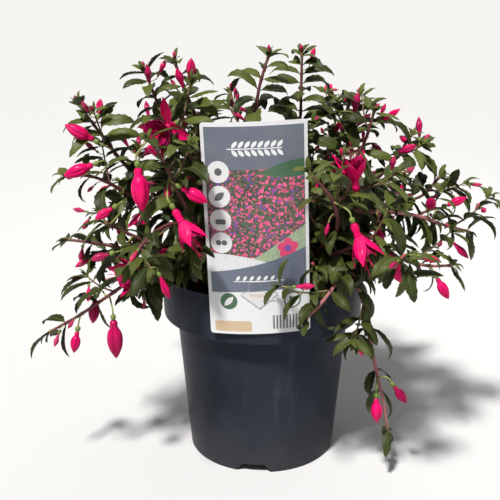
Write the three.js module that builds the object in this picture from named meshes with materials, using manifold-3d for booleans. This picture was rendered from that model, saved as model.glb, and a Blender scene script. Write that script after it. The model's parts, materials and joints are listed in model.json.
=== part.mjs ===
// A fuchsia in a standing nursery pot, with its plant label hooked over the rim.
// Millimetres, +Z up, seen from the -Y side. The origin is the middle of the pot's foot.

import * as THREE from 'three';
import { mergeVertices } from 'three/addons/utils/BufferGeometryUtils.js';
import Module from 'manifold-3d';

const wasm = await Module();
wasm.setup();

// ---------- driving dimensions ----------

const gap = 0.3;

const pot = {
  height: 187,
  rimRadius: 100.5,
  collarRadius: 98.5,
  shoulderRadius: 86,
  shoulderHeight: 143,
  footRadius: 74,
  wall: 1.8,
  floorHeight: 9,
  sides: 30,
  notch: { count: 4, width: 34, topWidth: 22, height: 8, firstTurn: -97 },
  drain: { count: 6, radius: 6, ring: 50 },
};

const mix = { height: 166, edge: 163, crown: [78, 56], lump: 1.6, holeDepth: 18, sides: 24 };

const card = {
  width: 90,
  height: 187,
  thickness: 0.8,
  bottom: 155,
  bottomX: -3,
  standOff: 101.2,
  bend: 140,
  lean: THREE.MathUtils.degToRad(2.4),
  roll: THREE.MathUtils.degToRad(-2.1),
  columns: 5,
  corner: 2.5,
  tab: { tip: 24, barb: 37, neck: 41, top: 49, width: 32, neckWidth: 17, proud: 0.6 },
  leg: { width: 17, depth: 18 },
};

const leaf = {
  longest: 52,
  shortest: 28,
  young: [24, 34],
  widthShare: 0.32,
  thickness: 1,
  fold: 0.1,
  arch: 1.15,
  youngArch: 0.69,
  spread: [0.85, 1.2],
  swing: 0.42,
  droop: 0.12,
};

const wood = {
  step: 34,
  collar: 5,
  rootRadius: 3.2,
  branchRadius: 2.3,
  tipRadius: 0.9,
  shootRadius: 1,
  shootLength: [30, 52],
  stalkRadius: 0.8,
  stalkReach: 15,
  stalkHook: 10,
  stalkBow: 0.25,
};

const flower = {
  tube: 11,
  sepal: 30,
  sepalWidth: 12,
  sepalArch: 0.5,
  sepalFold: -0.1,
  sepalThickness: 1.4,
  budWidest: 7.2,
  petals: 4,
  corolla: { length: 17, radius: 7.5, stamen: 26, style: 34, thread: 0.6 },
};

// Leaf nodes along a branch: where they begin, how far apart they are, and which bear what here.
const leafyShare = 0.36;
const nodeSpacing = 17;
const pairEvery = 5;
const shootEvery = 6;

// ---------- vectors, draws and solids ----------

const V = (x, y, z) => new THREE.Vector3(x, y, z);
const up = V(0, 0, 1);

// A repeatable draw from 0 to 1 for each set of whole numbers.
function draw(...keys) {
  let h = 0x2f6e2b1;
  for (const key of keys) {
    h = Math.imul(h ^ (key + 0x9e3779b9), 0x85ebca6b);
    h ^= h >>> 13;
    h = Math.imul(h, 0xc2b2ae35);
    h ^= h >>> 16;
  }
  return (h >>> 0) / 2 ** 32;
}

const between = (low, high, ...keys) => low + (high - low) * draw(...keys);

function solidOf(geometry) {
  const bare = geometry.clone();
  bare.deleteAttribute('normal');
  bare.deleteAttribute('uv');
  const merged = mergeVertices(bare, 1e-4);
  const corners = merged.index.array;
  const triVerts = [];
  for (let i = 0; i < corners.length; i += 3) {
    const [a, b, c] = corners.slice(i, i + 3);
    if (a !== b && b !== c && c !== a) triVerts.push(a, b, c);
  }
  return new wasm.Manifold(new wasm.Mesh({
    numProp: 3,
    vertProperties: new Float32Array(merged.attributes.position.array),
    triVerts: new Uint32Array(triVerts),
  }));
}

function joined(solids) {
  let whole = solids[0];
  for (const solid of solids.slice(1)) whole = whole.add(solid);
  return whole;
}

function meshOf(name, solid, finish) {
  const { vertProperties, triVerts } = solid.getMesh();
  const geometry = new THREE.BufferGeometry();
  geometry.setAttribute('position', new THREE.BufferAttribute(new Float32Array(vertProperties), 3));
  geometry.setIndex(new THREE.BufferAttribute(new Uint32Array(triVerts), 1));
  geometry.computeVertexNormals();
  const mesh = new THREE.Mesh(geometry, new THREE.MeshStandardMaterial(finish));
  mesh.name = name;
  return mesh;
}

// A closed solid through sections of equal counts of points. A section of one point is a tip.
function loft(sections) {
  const positions = [];
  const starts = [];
  const index = [];
  for (const section of sections) {
    starts.push(positions.length / 3);
    for (const p of section) positions.push(p.x, p.y, p.z);
  }
  for (let s = 1; s < sections.length; s++) {
    const near = sections[s - 1].length;
    const far = sections[s].length;
    const count = Math.max(near, far);
    for (let i = 0; i < count; i++) {
      const j = (i + 1) % count;
      const a = starts[s - 1] + (near > 1 ? i : 0);
      const b = starts[s - 1] + j;
      const c = starts[s] + (far > 1 ? j : 0);
      const d = starts[s] + i;
      if (near > 1) index.push(a, b, c);
      if (far > 1) index.push(a, c, d);
    }
  }
  const last = sections.length - 1;
  const [first, end] = [starts[0], starts[last]];
  for (let i = 1; i < sections[0].length - 1; i++) index.push(first, first + i + 1, first + i);
  for (let i = 1; i < sections[last].length - 1; i++) index.push(end, end + i, end + i + 1);
  const geometry = new THREE.BufferGeometry();
  geometry.setAttribute('position', new THREE.Float32BufferAttribute(positions, 3));
  geometry.setIndex(index);
  return geometry;
}

// Two directions across a direction: one level, one as far up as it can be.
function across(direction) {
  const level = V().crossVectors(direction, up);
  if (level.length() < 0.05) level.set(1, 0, 0);
  level.normalize();
  return [level, V().crossVectors(level, direction).normalize()];
}

// The direction at an angle from level towards rise.
function turned(level, rise, angle) {
  return level.clone().multiplyScalar(Math.cos(angle)).addScaledVector(rise, Math.sin(angle));
}

function ring(center, level, rise, radius, sides) {
  return Array.from({ length: sides }, (_, i) => {
    const radial = turned(level, rise, (2 * Math.PI * i) / sides);
    return center.clone().addScaledVector(radial, radius);
  });
}

// A tapering round rod along points, with its frame carried on from ring to ring.
function rod(points, radiusAt, sides) {
  let level;
  const sections = points.map((point, i) => {
    const before = points[Math.max(i - 1, 0)];
    const after = points[Math.min(i + 1, points.length - 1)];
    const direction = after.clone().sub(before).normalize();
    if (!level) [level] = across(direction);
    level = level.clone().addScaledVector(direction, -level.dot(direction)).normalize();
    const rise = V().crossVectors(direction, level);
    return ring(point, level, rise, radiusAt(i / (points.length - 1)), sides);
  });
  return solidOf(loft(sections));
}

// ---------- pot ----------

function inwardWall(z) {
  const body = pot.footRadius + ((pot.shoulderRadius - pot.footRadius) * z) / pot.shoulderHeight;
  const share = (z - pot.shoulderHeight) / (pot.height - pot.shoulderHeight);
  const collar = pot.collarRadius + (pot.rimRadius - pot.collarRadius) * share;
  return (z > pot.shoulderHeight + pot.wall ? collar : body) - pot.wall;
}

function makePot() {
  const { height, wall, shoulderHeight, floorHeight } = pot;
  const shoulder = shoulderHeight + wall;
  const profile = [
    [0, floorHeight],
    [inwardWall(floorHeight), floorHeight],
    [pot.footRadius - wall, 0],
    [pot.footRadius - 0.6, 0],
    [pot.footRadius + 0.4, 1.4],
    [pot.shoulderRadius, shoulderHeight],
    [pot.collarRadius - 0.8, shoulderHeight],
    [pot.collarRadius, shoulderHeight + 1.2],
    [pot.rimRadius, height - 1.2],
    [pot.rimRadius - 0.4, height],
    [pot.rimRadius - wall, height],
    [inwardWall(shoulder + gap), shoulder],
    [inwardWall(shoulderHeight), shoulder],
    [inwardWall(floorHeight + wall), floorHeight + wall],
    [0, floorHeight + wall],
  ];
  const shell = new THREE.LatheGeometry(profile.map(([r, z]) => new THREE.Vector2(r, z)), pot.sides);
  let solid = solidOf(shell.rotateX(Math.PI / 2));
  const { count, width, topWidth, height: notchHeight, firstTurn } = pot.notch;
  const outline = new THREE.Shape([
    new THREE.Vector2(-width / 2 - 2, -2),
    new THREE.Vector2(width / 2 + 2, -2),
    new THREE.Vector2(topWidth / 2, notchHeight),
    new THREE.Vector2(-topWidth / 2, notchHeight),
  ]);
  for (let i = 0; i < count; i++) {
    const cutter = new THREE.ExtrudeGeometry(outline, { depth: 20, bevelEnabled: false });
    cutter.rotateX(Math.PI / 2);
    cutter.rotateZ(Math.PI / 2);
    cutter.translate(pot.footRadius - 12, 0, 0);
    cutter.rotateZ(THREE.MathUtils.degToRad(firstTurn + (360 / count) * i));
    solid = solid.subtract(solidOf(cutter));
  }
  for (let i = 0; i < pot.drain.count; i++) {
    const angle = (2 * Math.PI * (i + 0.5)) / pot.drain.count;
    const hole = new THREE.CylinderGeometry(pot.drain.radius, pot.drain.radius, 4 * wall, 6);
    hole.rotateX(Math.PI / 2);
    hole.translate(pot.drain.ring * Math.cos(angle), pot.drain.ring * Math.sin(angle), floorHeight + wall / 2);
    solid = solid.subtract(solidOf(hole));
  }
  return solid;
}

// ---------- potting mix ----------

function mixRing(radius, height, lump = 0, key = 0) {
  return Array.from({ length: mix.sides }, (_, i) => {
    const angle = (2 * Math.PI * i) / mix.sides;
    const r = radius + between(-lump, lump, key, i, 1);
    return V(r * Math.cos(angle), r * Math.sin(angle), height + between(-lump, lump, key, i, 2));
  });
}

function makeMix(roots) {
  const floor = pot.floorHeight + pot.wall;
  const shoulder = pot.shoulderHeight + pot.wall;
  const withinWall = (z) => inwardWall(z) * Math.cos(Math.PI / pot.sides) - gap;
  const sections = [
    mixRing(withinWall(floor), floor + gap),
    mixRing(withinWall(pot.shoulderHeight), shoulder + gap),
    mixRing(withinWall(shoulder + gap), shoulder + 2 * gap),
    mixRing(withinWall(mix.height), mix.edge),
    ...mix.crown.map((radius, i) => mixRing(radius, mix.height, mix.lump, 11 + i)),
    [V(0, 0, mix.height)],
  ];
  let solid = solidOf(loft(sections));
  for (const { at, radius } of roots) {
    const depth = mix.holeDepth;
    const hole = new THREE.CylinderGeometry(radius, radius, depth + 20, 6);
    hole.rotateX(Math.PI / 2);
    hole.translate(at.x, at.y, mix.height - depth + (depth + 20) / 2);
    solid = solid.subtract(solidOf(hole));
  }
  return solid;
}

// ---------- plant label ----------

// A point of the card: right and up from the middle of its lower edge, and out from its face.
function onCard(right, rise, out) {
  const turn = right / card.bend;
  const bow = card.bend * (1 - Math.cos(turn));
  const x = card.bend * Math.sin(turn);
  const point = V(x + out * Math.sin(turn), bow - out * Math.cos(turn), rise);
  point.applyAxisAngle(V(0, 1, 0), card.roll).applyAxisAngle(V(1, 0, 0), card.lean);
  return point.add(V(card.bottomX, -card.standOff, card.bottom));
}

// A plate bent with the card, from its lower and upper edge at places across the card.
function cardPlate(columns, behind, before) {
  return solidOf(loft(columns.map(([right, low, high]) => [
    onCard(right, low, -behind),
    onCard(right, high, -behind),
    onCard(right, high, before),
    onCard(right, low, before),
  ])));
}

function makeCard() {
  const half = card.width / 2;
  const { corner, columns, tab } = card;
  const inner = Array.from({ length: columns + 1 }, (_, i) => (half - corner) * ((2 * i) / columns - 1));
  const plate = cardPlate([
    [-half, corner, card.height - corner],
    ...inner.map((right) => [right, 0, card.height]),
    [half, corner, card.height - corner],
  ], card.thickness, 0);
  const wing = tab.width / 2;
  const neck = tab.neckWidth / 2;
  const cut = tab.tip + ((tab.barb - tab.tip) * neck) / wing;
  const arrow = cardPlate([
    [-wing, tab.barb, tab.barb + 1],
    [-neck - 0.1, cut, tab.neck],
    [-neck, cut, tab.top],
    [0, tab.tip, tab.top],
    [neck, cut, tab.top],
    [neck + 0.1, cut, tab.neck],
    [wing, tab.barb, tab.barb + 1],
  ], 0.2, tab.proud);
  const rimTop = pot.height + gap;
  const { width, depth } = card.leg;
  const inside = inwardWall(pot.height - depth) * Math.cos(Math.PI / pot.sides) - gap;
  const outside = card.standOff + Math.sin(card.lean) * (rimTop - card.bottom) + 0.4;
  const bridge = new THREE.BoxGeometry(width, outside - inside, card.thickness);
  bridge.translate(0, -(outside + inside) / 2, rimTop + card.thickness / 2);
  const leg = new THREE.BoxGeometry(width, card.thickness, depth);
  leg.translate(0, card.thickness / 2 - inside, rimTop + card.thickness - depth / 2);
  return joined([plate, arrow, solidOf(bridge), solidOf(leg)]);
}

// ---------- branches ----------

// Where each rooted plant stands in the mix, and its branches, with the points that they pass. The
// first one starts at the plant's foot, the others at a share of the first one's length.
const plants = {
  stem_top_left: [-14, 4, [
    [null, [-20, -2, 232], [-45, -12, 292], [-64, -24, 342], [-80, -30, 387]],
    [0.3, [-55, 4, 272], [-92, 10, 322], [-104, 15, 354], [-113, 15, 377]],
    [0.36, [-56, -44, 287], [-70, -60, 315], [-84, -66, 343]],
  ]],
  stem_top_middle: [4, 12, [
    [null, [0, 4, 237], [-8, -6, 297], [-7, -12, 340], [-3, -15, 367], [5, -15, 393]],
    [0.25, [20, 12, 272], [34, 16, 309], [37, 20, 365], [37, 20, 393]],
  ]],
  stem_top_right: [20, -2, [
    [null, [30, 2, 232], [56, 8, 285], [79, 15, 320], [83, 15, 347]],
    [0.35, [70, -12, 269], [92, -20, 309], [101, -25, 343]],
  ]],
  stem_right_high: [34, 10, [
    [null, [50, 8, 222], [85, 6, 249], [108, 4, 271], [128, 2, 295], [142, 0, 319]],
    [0.4, [98, -14, 247], [128, -22, 259], [151, -28, 265], [164, -30, 283]],
  ]],
  stem_right_long: [38, -12, [
    [null, [46, -38, 222], [64, -56, 253], [104, -60, 256], [147, -50, 249], [174, -40, 236],
      [195, -30, 230]],
    [0.42, [96, -66, 235], [125, -64, 213], [150, -62, 206], [173, -58, 205]],
    [0.34, [70, -74, 273], [76, -84, 297]],
  ]],
  stem_right_trailing: [32, -30, [
    [null, [60, -52, 205], [84, -66, 196], [94, -74, 157], [105, -77, 108], [113, -75, 78], [119, -75, 45]],
    [0.22, [64, -84, 205], [58, -104, 197], [44, -118, 185], [34, -124, 177]],
  ]],
  stem_front_right: [16, -38, [
    [null, [46, -64, 219], [62, -92, 247], [56, -112, 277], [35, -119, 303]],
    [0.36, [82, -102, 237], [100, -124, 239], [116, -146, 225]],
  ]],
  stem_front_left: [-22, -36, [
    [null, [-48, -72, 222], [-74, -104, 255], [-94, -128, 251], [-112, -148, 229]],
    [0.42, [-72, -98, 279], [-84, -104, 309], [-96, -108, 329]],
  ]],
  stem_left_high: [-36, 4, [
    [null, [-56, 0, 222], [-100, -10, 257], [-130, -18, 292], [-158, -20, 331], [-170, -20, 349]],
    [0.42, [-114, -26, 259], [-150, -42, 283], [-180, -44, 287]],
  ]],
  stem_left_low: [-36, -18, [
    [null, [-60, -32, 205], [-107, -38, 211], [-153, -40, 221], [-184, -40, 225]],
    [0.3, [-98, -62, 203], [-132, -74, 187], [-174, -70, 158], [-201, -63, 141]],
    [0.2, [-90, -72, 223], [-118, -88, 243], [-140, -92, 255]],
  ]],
  stem_back_left: [-20, 28, [
    [null, [-40, 48, 227], [-80, 80, 285], [-114, 100, 323]],
    [0.35, [-84, 88, 237], [-122, 112, 243], [-152, 126, 225]],
  ]],
  stem_back_middle: [2, 36, [
    [null, [-6, 56, 237], [-22, 90, 305], [-34, 110, 351]],
    [0.3, [4, 92, 245], [6, 128, 265], [2, 152, 253]],
  ]],
  stem_back_right: [26, 28, [
    [null, [42, 46, 232], [72, 76, 295], [92, 92, 337]],
    [0.35, [84, 84, 237], [120, 104, 251], [146, 118, 235]],
  ]],
  stem_back_low: [2, 54, [
    [null, [-18, 80, 209], [-50, 116, 217], [-76, 146, 195]],
    [0.3, [20, 98, 211], [50, 126, 217], [78, 146, 193]],
  ]],
};

// A point of a branch's straight pieces, at a share of its length.
function onSpine(spine, share) {
  const at = Math.min(share, 0.9999) * (spine.length - 1);
  const piece = Math.floor(at);
  return spine[piece].clone().lerp(spine[piece + 1], at - piece);
}

function makeSkeleton() {
  const skeleton = [];
  for (const [plant, [x, y, branches]] of Object.entries(plants)) {
    let first;
    for (const [start, ...via] of branches) {
      const from = start ? onSpine(first, start) : V(x, y, mix.height + wood.collar);
      const points = [from, ...via.map((p) => V(...p))];
      const route = new THREE.CatmullRomCurve3(points, false, 'catmullrom', 0.5);
      const count = Math.max(5, Math.round(route.getLength() / wood.step));
      const spine = route.getSpacedPoints(count);
      if (!start) {
        spine.unshift(V(x, y, mix.height - mix.holeDepth + gap));
        first = spine;
      }
      skeleton.push({ plant, route, spine, rooted: !start, key: skeleton.length });
    }
  }
  return skeleton;
}

// ---------- room between the plants ----------

// Points already taken, each with its radius and its plant.
const taken = [];

function take(points, radius, plant) {
  for (const point of points) taken.push({ point, radius, plant });
}

function onLine(from, to, step) {
  const count = Math.max(1, Math.ceil(from.distanceTo(to) / step));
  return Array.from({ length: count + 1 }, (_, i) => from.clone().lerp(to, i / count));
}

function hitsPot(point, radius) {
  const reach = Math.hypot(point.x, point.y);
  if (point.z > pot.height + radius + 1) return false;
  if (reach > pot.rimRadius + radius + 1) return false;
  return !(reach < pot.collarRadius - pot.wall - radius - 1 && point.z > mix.height + radius + 2);
}

function hitsCard(point, radius) {
  const rise = point.z - card.bottom;
  if (rise < -radius - 2 || rise > card.height + radius + 2) return false;
  const side = point.x - card.bottomX - Math.sin(card.roll) * rise;
  if (Math.abs(side) > card.width / 2 + radius + 1) return false;
  const face = -card.standOff - Math.sin(card.lean) * rise;
  return point.y > face - radius - 1.5 && point.y < face + 10 + radius;
}

const ownShare = 0.35;

function isClear(points, radius, plant, clearance = 1) {
  for (const point of points) {
    if (hitsPot(point, radius) || hitsCard(point, radius)) return false;
    for (const other of taken) {
      const share = other.plant === plant ? ownShare : 1;
      const reach = (radius + other.radius) * share + (share === 1 ? clearance : 0);
      if (point.distanceToSquared(other.point) < reach * reach) return false;
    }
  }
  return true;
}

// ---------- leaves ----------

// A leaf's midrib point and the directions of its frame, at a share u of its length.
function leafFrame({ root, out, face, length, arch }, u) {
  const bend = arch * u * u;
  const straight = length * (u - (arch * arch * u ** 5) / 10);
  const drop = -length * ((arch * u ** 3) / 3 - (arch ** 3 * u ** 7) / 42);
  const point = root.clone().addScaledVector(out, straight).addScaledVector(face, drop);
  const rise = face.clone().multiplyScalar(Math.cos(bend)).addScaledVector(out, Math.sin(bend));
  return { point, rise, side: V().crossVectors(out, face).normalize() };
}

// Half widths along the margin: teeth stand out and cut back in, towards the pointed tip.
const toothedMargin = [[0.14, 0.5], [0.34, 1.02], [0.42, 0.88], [0.58, 0.98], [0.66, 0.68]];
const youngMargin = [[0.2, 0.7], [0.46, 1.06], [0.54, 0.8]];
const sepalMargin = [[0.14, 0.3], [0.45, 1], [0.74, 0.66]];

// A thin blade: its rib stands out below, its face is dished, and root and tip are pointed.
function blade(shape, margin, ribs) {
  const { halfWidth, fold, thickness } = shape;
  const positions = [];
  const add = (p) => positions.push(p.x, p.y, p.z) / 3 - 1;
  const root = [0, add(shape.root)];
  const ribRow = [];
  for (const u of ribs) {
    const { point, rise } = leafFrame(shape, u);
    ribRow.push([u, add(point.addScaledVector(rise, -thickness))]);
  }
  const tip = [1, add(leafFrame(shape, 1).point)];
  const sides = [-1, 1].map((hand) => margin.map(([u, share]) => {
    const { point, rise, side } = leafFrame(shape, u);
    const width = halfWidth * share;
    const edge = point.addScaledVector(side, hand * width * Math.cos(fold));
    return [u, add(edge.addScaledVector(rise, width * Math.sin(fold)))];
  }));
  const index = [];
  const strip = (left, right) => {
    const a = [root, ...left, tip];
    const b = [root, ...right, tip];
    let i = 0;
    let j = 0;
    while (i < a.length - 1 || j < b.length - 1) {
      const stepLeft = j === b.length - 1 || (i < a.length - 1 && a[i + 1][0] <= b[j + 1][0]);
      const next = stepLeft ? a[i + 1][1] : b[j + 1][1];
      if (a[i][1] !== b[j][1] && next !== a[i][1] && next !== b[j][1]) index.push(a[i][1], b[j][1], next);
      if (stepLeft) i++;
      else j++;
    }
  };
  strip(sides[0], sides[1]);
  strip(sides[1], ribRow);
  strip(ribRow, sides[0]);
  const geometry = new THREE.BufferGeometry();
  geometry.setAttribute('position', new THREE.Float32BufferAttribute(positions, 3));
  geometry.setIndex(index);
  return solidOf(geometry);
}

function leafPoints(shape) {
  return [0.12, 0.3, 0.5, 0.7, 0.9].map((u) => leafFrame(shape, u).point);
}

// Tries a leaf with a few turns about the stem until it stands clear, then takes its room.
function placeLeaf(stem, key, length, turnAt, tangent, root, young) {
  const [level, rise] = across(tangent);
  const halfWidth = (length * leaf.widthShare) / 2 * between(0.9, 1.15, key, 5);
  for (let attempt = 0; attempt < 9; attempt++) {
    const swing = Math.ceil(attempt / 2) * leaf.swing * (attempt % 2 ? 1 : -1);
    const spread = between(...leaf.spread, key, 1) + 0.06 * attempt;
    const out = turned(tangent, turned(level, rise, turnAt + swing), spread);
    out.z -= leaf.droop;
    out.normalize();
    const face = tangent.clone().multiplyScalar(0.5).addScaledVector(up, 0.9);
    face.addScaledVector(out, -face.dot(out)).normalize();
    const shape = {
      root: root.clone().addScaledVector(out, -0.4),
      out,
      face,
      length,
      halfWidth,
      arch: (young ? leaf.youngArch : leaf.arch) * between(0.6, 1.5, key, 2),
      fold: leaf.fold * between(0.6, 1.3, key, 3),
      thickness: leaf.thickness,
    };
    const points = leafPoints(shape);
    if (isClear(points, halfWidth * 0.9, stem.plant)) {
      take(points, halfWidth * 0.9, stem.plant);
      return shape;
    }
  }
  return null;
}

// ---------- shoots, leaves and flowers on the branches ----------

const skeleton = makeSkeleton();

for (const { plant, spine, rooted } of skeleton) {
  const points = spine.slice(1).flatMap((point, i) => onLine(spine[i], point, 4));
  take(points.filter((p) => p.z > mix.height + 12 || !rooted), wood.branchRadius, plant);
}

// Each flower: its kind, the branch that bears it, the top of its tube and the tip it hangs to.
const flowers = [
  ['bloom', 'stem_top_left', [-78, -66, 335], [-92, -92, 329], 1.3],
  ['bud', 'stem_top_left', [-65, -40, 371], [-64, -42, 390]],
  ['bud', 'stem_front_left', [-104, -114, 305], [-101, -116, 269]],
  ['bud', 'stem_front_left', [-68, -116, 289], [-47, -122, 278]],
  ['bloom', 'stem_front_left', [-74, -126, 273], [-56, -132, 243], 0.55],
  ['bud', 'stem_left_high', [-151, -62, 299], [-176, -68, 290]],
  ['bud', 'stem_left_high', [-152, -48, 319], [-176, -52, 333]],
  ['bud', 'stem_left_low', [-129, -99, 268], [-143, -105, 260]],
  ['bud', 'stem_left_low', [-133, -104, 229], [-148, -108, 225]],
  ['bloom', 'stem_left_low', [-102, -98, 212], [-112, -110, 214], 0.8],
  ['bud', 'stem_left_low', [-155, -66, 175], [-158, -68, 152]],
  ['bud', 'stem_left_low', [-135, -88, 163], [-134, -88, 126]],
  ['bud', 'stem_left_low', [-171, -76, 147], [-175, -78, 127]],
  ['bud', 'stem_top_right', [86, -2, 339], [88, -4, 357]],
  ['bud', 'stem_right_high', [127, -14, 303], [143, -18, 310]],
  ['bloom', 'stem_right_long', [78, -92, 281], [74, -96, 309], 0.7],
  ['bud', 'stem_right_long', [149, -58, 259], [147, -76, 271]],
  ['bud', 'stem_right_long', [168, -46, 259], [184, -50, 267]],
  ['bloom', 'stem_front_right', [72, -124, 261], [84, -130, 229], 0.6],
  ['bud', 'stem_right_long', [100, -84, 247], [102, -88, 231]],
  ['bud', 'stem_front_right', [104, -108, 231], [120, -106, 203]],
  ['bud', 'stem_right_long', [157, -72, 197], [168, -74, 178]],
  ['bud', 'stem_right_trailing', [121, -84, 96], [133, -86, 80]],
  ['bud', 'stem_right_trailing', [104, -90, 87], [105, -92, 63]],
  ['bud', 'stem_back_left', [-98, 100, 287], [-100, 108, 253]],
  ['bloom', 'stem_back_left', [-132, 124, 223], [-138, 130, 189], 0.8],
  ['bud', 'stem_back_middle', [-34, 112, 313], [-40, 126, 283]],
  ['bloom', 'stem_back_middle', [8, 144, 245], [10, 150, 209], 0.9],
  ['bud', 'stem_back_right', [74, 92, 285], [78, 102, 253]],
  ['bloom', 'stem_back_right', [128, 122, 233], [132, 126, 199], 0.7],
  ['bud', 'stem_back_low', [-60, 132, 193], [-62, 136, 159]],
  ['bud', 'stem_back_low', [62, 134, 193], [64, 138, 159]],
];

function budWidth(length) {
  return Math.min(flower.budWidest, length * 0.19 + 0.6);
}

// A closed bud: tube, neck and four long sepals shut to a point, with seams between them.
function makeBud(base, tip) {
  const length = base.distanceTo(tip);
  const { axis, level, rise } = flowerFrame(base, tip);
  const stations = [[0, 0.36, 1], [0.2, 0.46, 1], [0.5, 0.98, 0.86], [0.76, 0.74, 0.8]];
  const sections = stations.map(([share, width, seam]) => {
    const center = base.clone().addScaledVector(axis, share * length);
    const corners = ring(center, level, rise, width * budWidth(length), 8);
    return corners.map((p, i) => (i % 2 ? center.clone().lerp(p, seam) : p));
  });
  return solidOf(loft([...sections, [tip]]));
}

function flowerFrame(base, tip) {
  const axis = tip.clone().sub(base).normalize();
  const [level] = across(axis);
  return { axis, level, rise: V().crossVectors(axis, level) };
}

// The frame of one of an open flower's four sepals.
function sepalShape({ base, tip, spread, key }, i) {
  const { axis, level, rise } = flowerFrame(base, tip);
  const radial = turned(level, rise, (Math.PI / 2) * i + between(-0.2, 0.2, key, i, 42));
  const open = spread + between(-0.12, 0.2, key, i, 43);
  return {
    root: base.clone().addScaledVector(axis, flower.tube - 3).addScaledVector(radial, 0.6),
    out: turned(axis, radial, open),
    face: turned(radial, axis, -open),
    length: between(0.92, 1.08, key, i, 44) * flower.sepal,
    halfWidth: flower.sepalWidth / 2,
    arch: flower.sepalArch,
    fold: flower.sepalFold,
    thickness: flower.sepalThickness,
  };
}

// An open flower's tube with four spread sepals.
function makeBloom(bloom) {
  const { axis, level, rise } = flowerFrame(bloom.base, bloom.tip);
  const tube = [[0, 2], [0.35, 3.5], [0.7, 2.9], [1, 3.4]].map(([share, radius]) => (
    ring(bloom.base.clone().addScaledVector(axis, share * flower.tube), level, rise, radius, 6)
  ));
  const sepals = [0, 1, 2, 3].map((i) => blade(sepalShape(bloom, i), sepalMargin, [0.45]));
  return joined([solidOf(loft(tube)), ...sepals]);
}

// The petals round the middle of an open flower: a flared outer layer, a shorter upright inner
// layer turned by half a petal, and the stamens and the style that hang out of them.
function makeCorolla({ base, tip, key }) {
  const { axis, level, rise } = flowerFrame(base, tip);
  const start = base.clone().addScaledVector(axis, flower.tube + gap);
  const { petals, corolla } = flower;
  const rows = [
    [0, 0.1, 0.1],
    [0.28, 0.42, 0.36],
    [0.84, 1, 0.66],
    [0.66, 0.46, 0.38],
    [1, 0.4, 0.52],
  ];
  const sections = rows.map(([along, high, low]) => {
    const center = start.clone().addScaledVector(axis, along * corolla.length);
    return Array.from({ length: 2 * petals }, (_, i) => {
      const radial = turned(level, rise, (Math.PI * i) / petals);
      const ruffle = along > 0.8 ? between(-1, 1, key, i, 47) : 0;
      const point = center.clone().addScaledVector(radial, (i % 2 ? low : high) * corolla.radius);
      return point.addScaledVector(axis, ruffle);
    });
  });
  const heart = start.clone().addScaledVector(axis, 0.8 * corolla.length);
  const parts = [solidOf(loft([...sections, [heart]]))];
  for (let i = 0; i < 2; i++) {
    const radial = turned(level, rise, 2.6 * i + 0.4);
    const from = heart.clone().addScaledVector(axis, -0.2 * corolla.length).addScaledVector(radial, 0.8);
    const reach = i ? corolla.stamen : corolla.style;
    const to = start.clone().addScaledVector(axis, reach).addScaledVector(radial, i ? 4 : 1);
    parts.push(rod([from, to], () => corolla.thread, 3));
  }
  return joined(parts);
}

const blooms = [];
const stalks = [];

// The point of a plant's branches that bears a flower: near it, but a stalk's length away, and
// behind it, so that the stalk needn't double back.
function bearingPoint(plant, base, axis) {
  let best = null;
  let least = Infinity;
  for (const branch of skeleton.filter((b) => b.plant === plant)) {
    for (let i = 12; i <= 60; i++) {
      const point = onSpine(branch.spine, i / 60);
      const reach = point.distanceTo(base);
      const ahead = base.clone().sub(point).dot(axis) / reach;
      const cost = reach * (1.6 - ahead);
      if (reach > wood.stalkReach && cost < least) {
        least = cost;
        best = point;
      }
    }
  }
  return best;
}

flowers.forEach(([kind, plant, from, to, spread], key) => {
  const base = V(...from);
  const tip = V(...to);
  const { axis } = flowerFrame(base, tip);
  const bearer = bearingPoint(plant, base, axis);
  const ovary = base.clone().addScaledVector(axis, -gap);
  const neck = ovary.clone().addScaledVector(axis, -wood.stalkHook);
  const rise = ovary.clone().sub(bearer);
  const bend = wood.stalkBow * (rise.length() - rise.dot(axis));
  const bow = bearer.clone().lerp(neck, 0.5).addScaledVector(axis, -bend);
  stalks.push({ plant, bearer, bow, neck, ovary, axis });
  blooms.push({ kind, plant, base, tip, key, spread });
  const owner = `flower ${key}`;
  if (kind === 'bud') {
    const belly = base.clone().lerp(tip, 0.6);
    take(onLine(base, belly, 4), budWidth(base.distanceTo(tip)) * 0.8, owner);
    take(onLine(belly, tip, 4), budWidth(base.distanceTo(tip)) * 0.6, owner);
    return;
  }
  const { tube, corolla } = flower;
  const along = (distance) => base.clone().addScaledVector(axis, distance);
  take(onLine(base, along(tube), 4), 4, owner);
  take(onLine(along(tube), along(tube + corolla.length), 4), corolla.radius + 0.5, owner);
  take(onLine(base, along(tube + corolla.style), 4), 2, owner);
  for (let i = 0; i < 4; i++) take(leafPoints(sepalShape(blooms.at(-1), i)), 5.5, owner);
});

function nodeCount(length) {
  return Math.floor((length * (1 - leafyShare)) / nodeSpacing);
}

function nodeAt(n, count) {
  return leafyShare + (0.985 - leafyShare) * (n / count);
}

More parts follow.
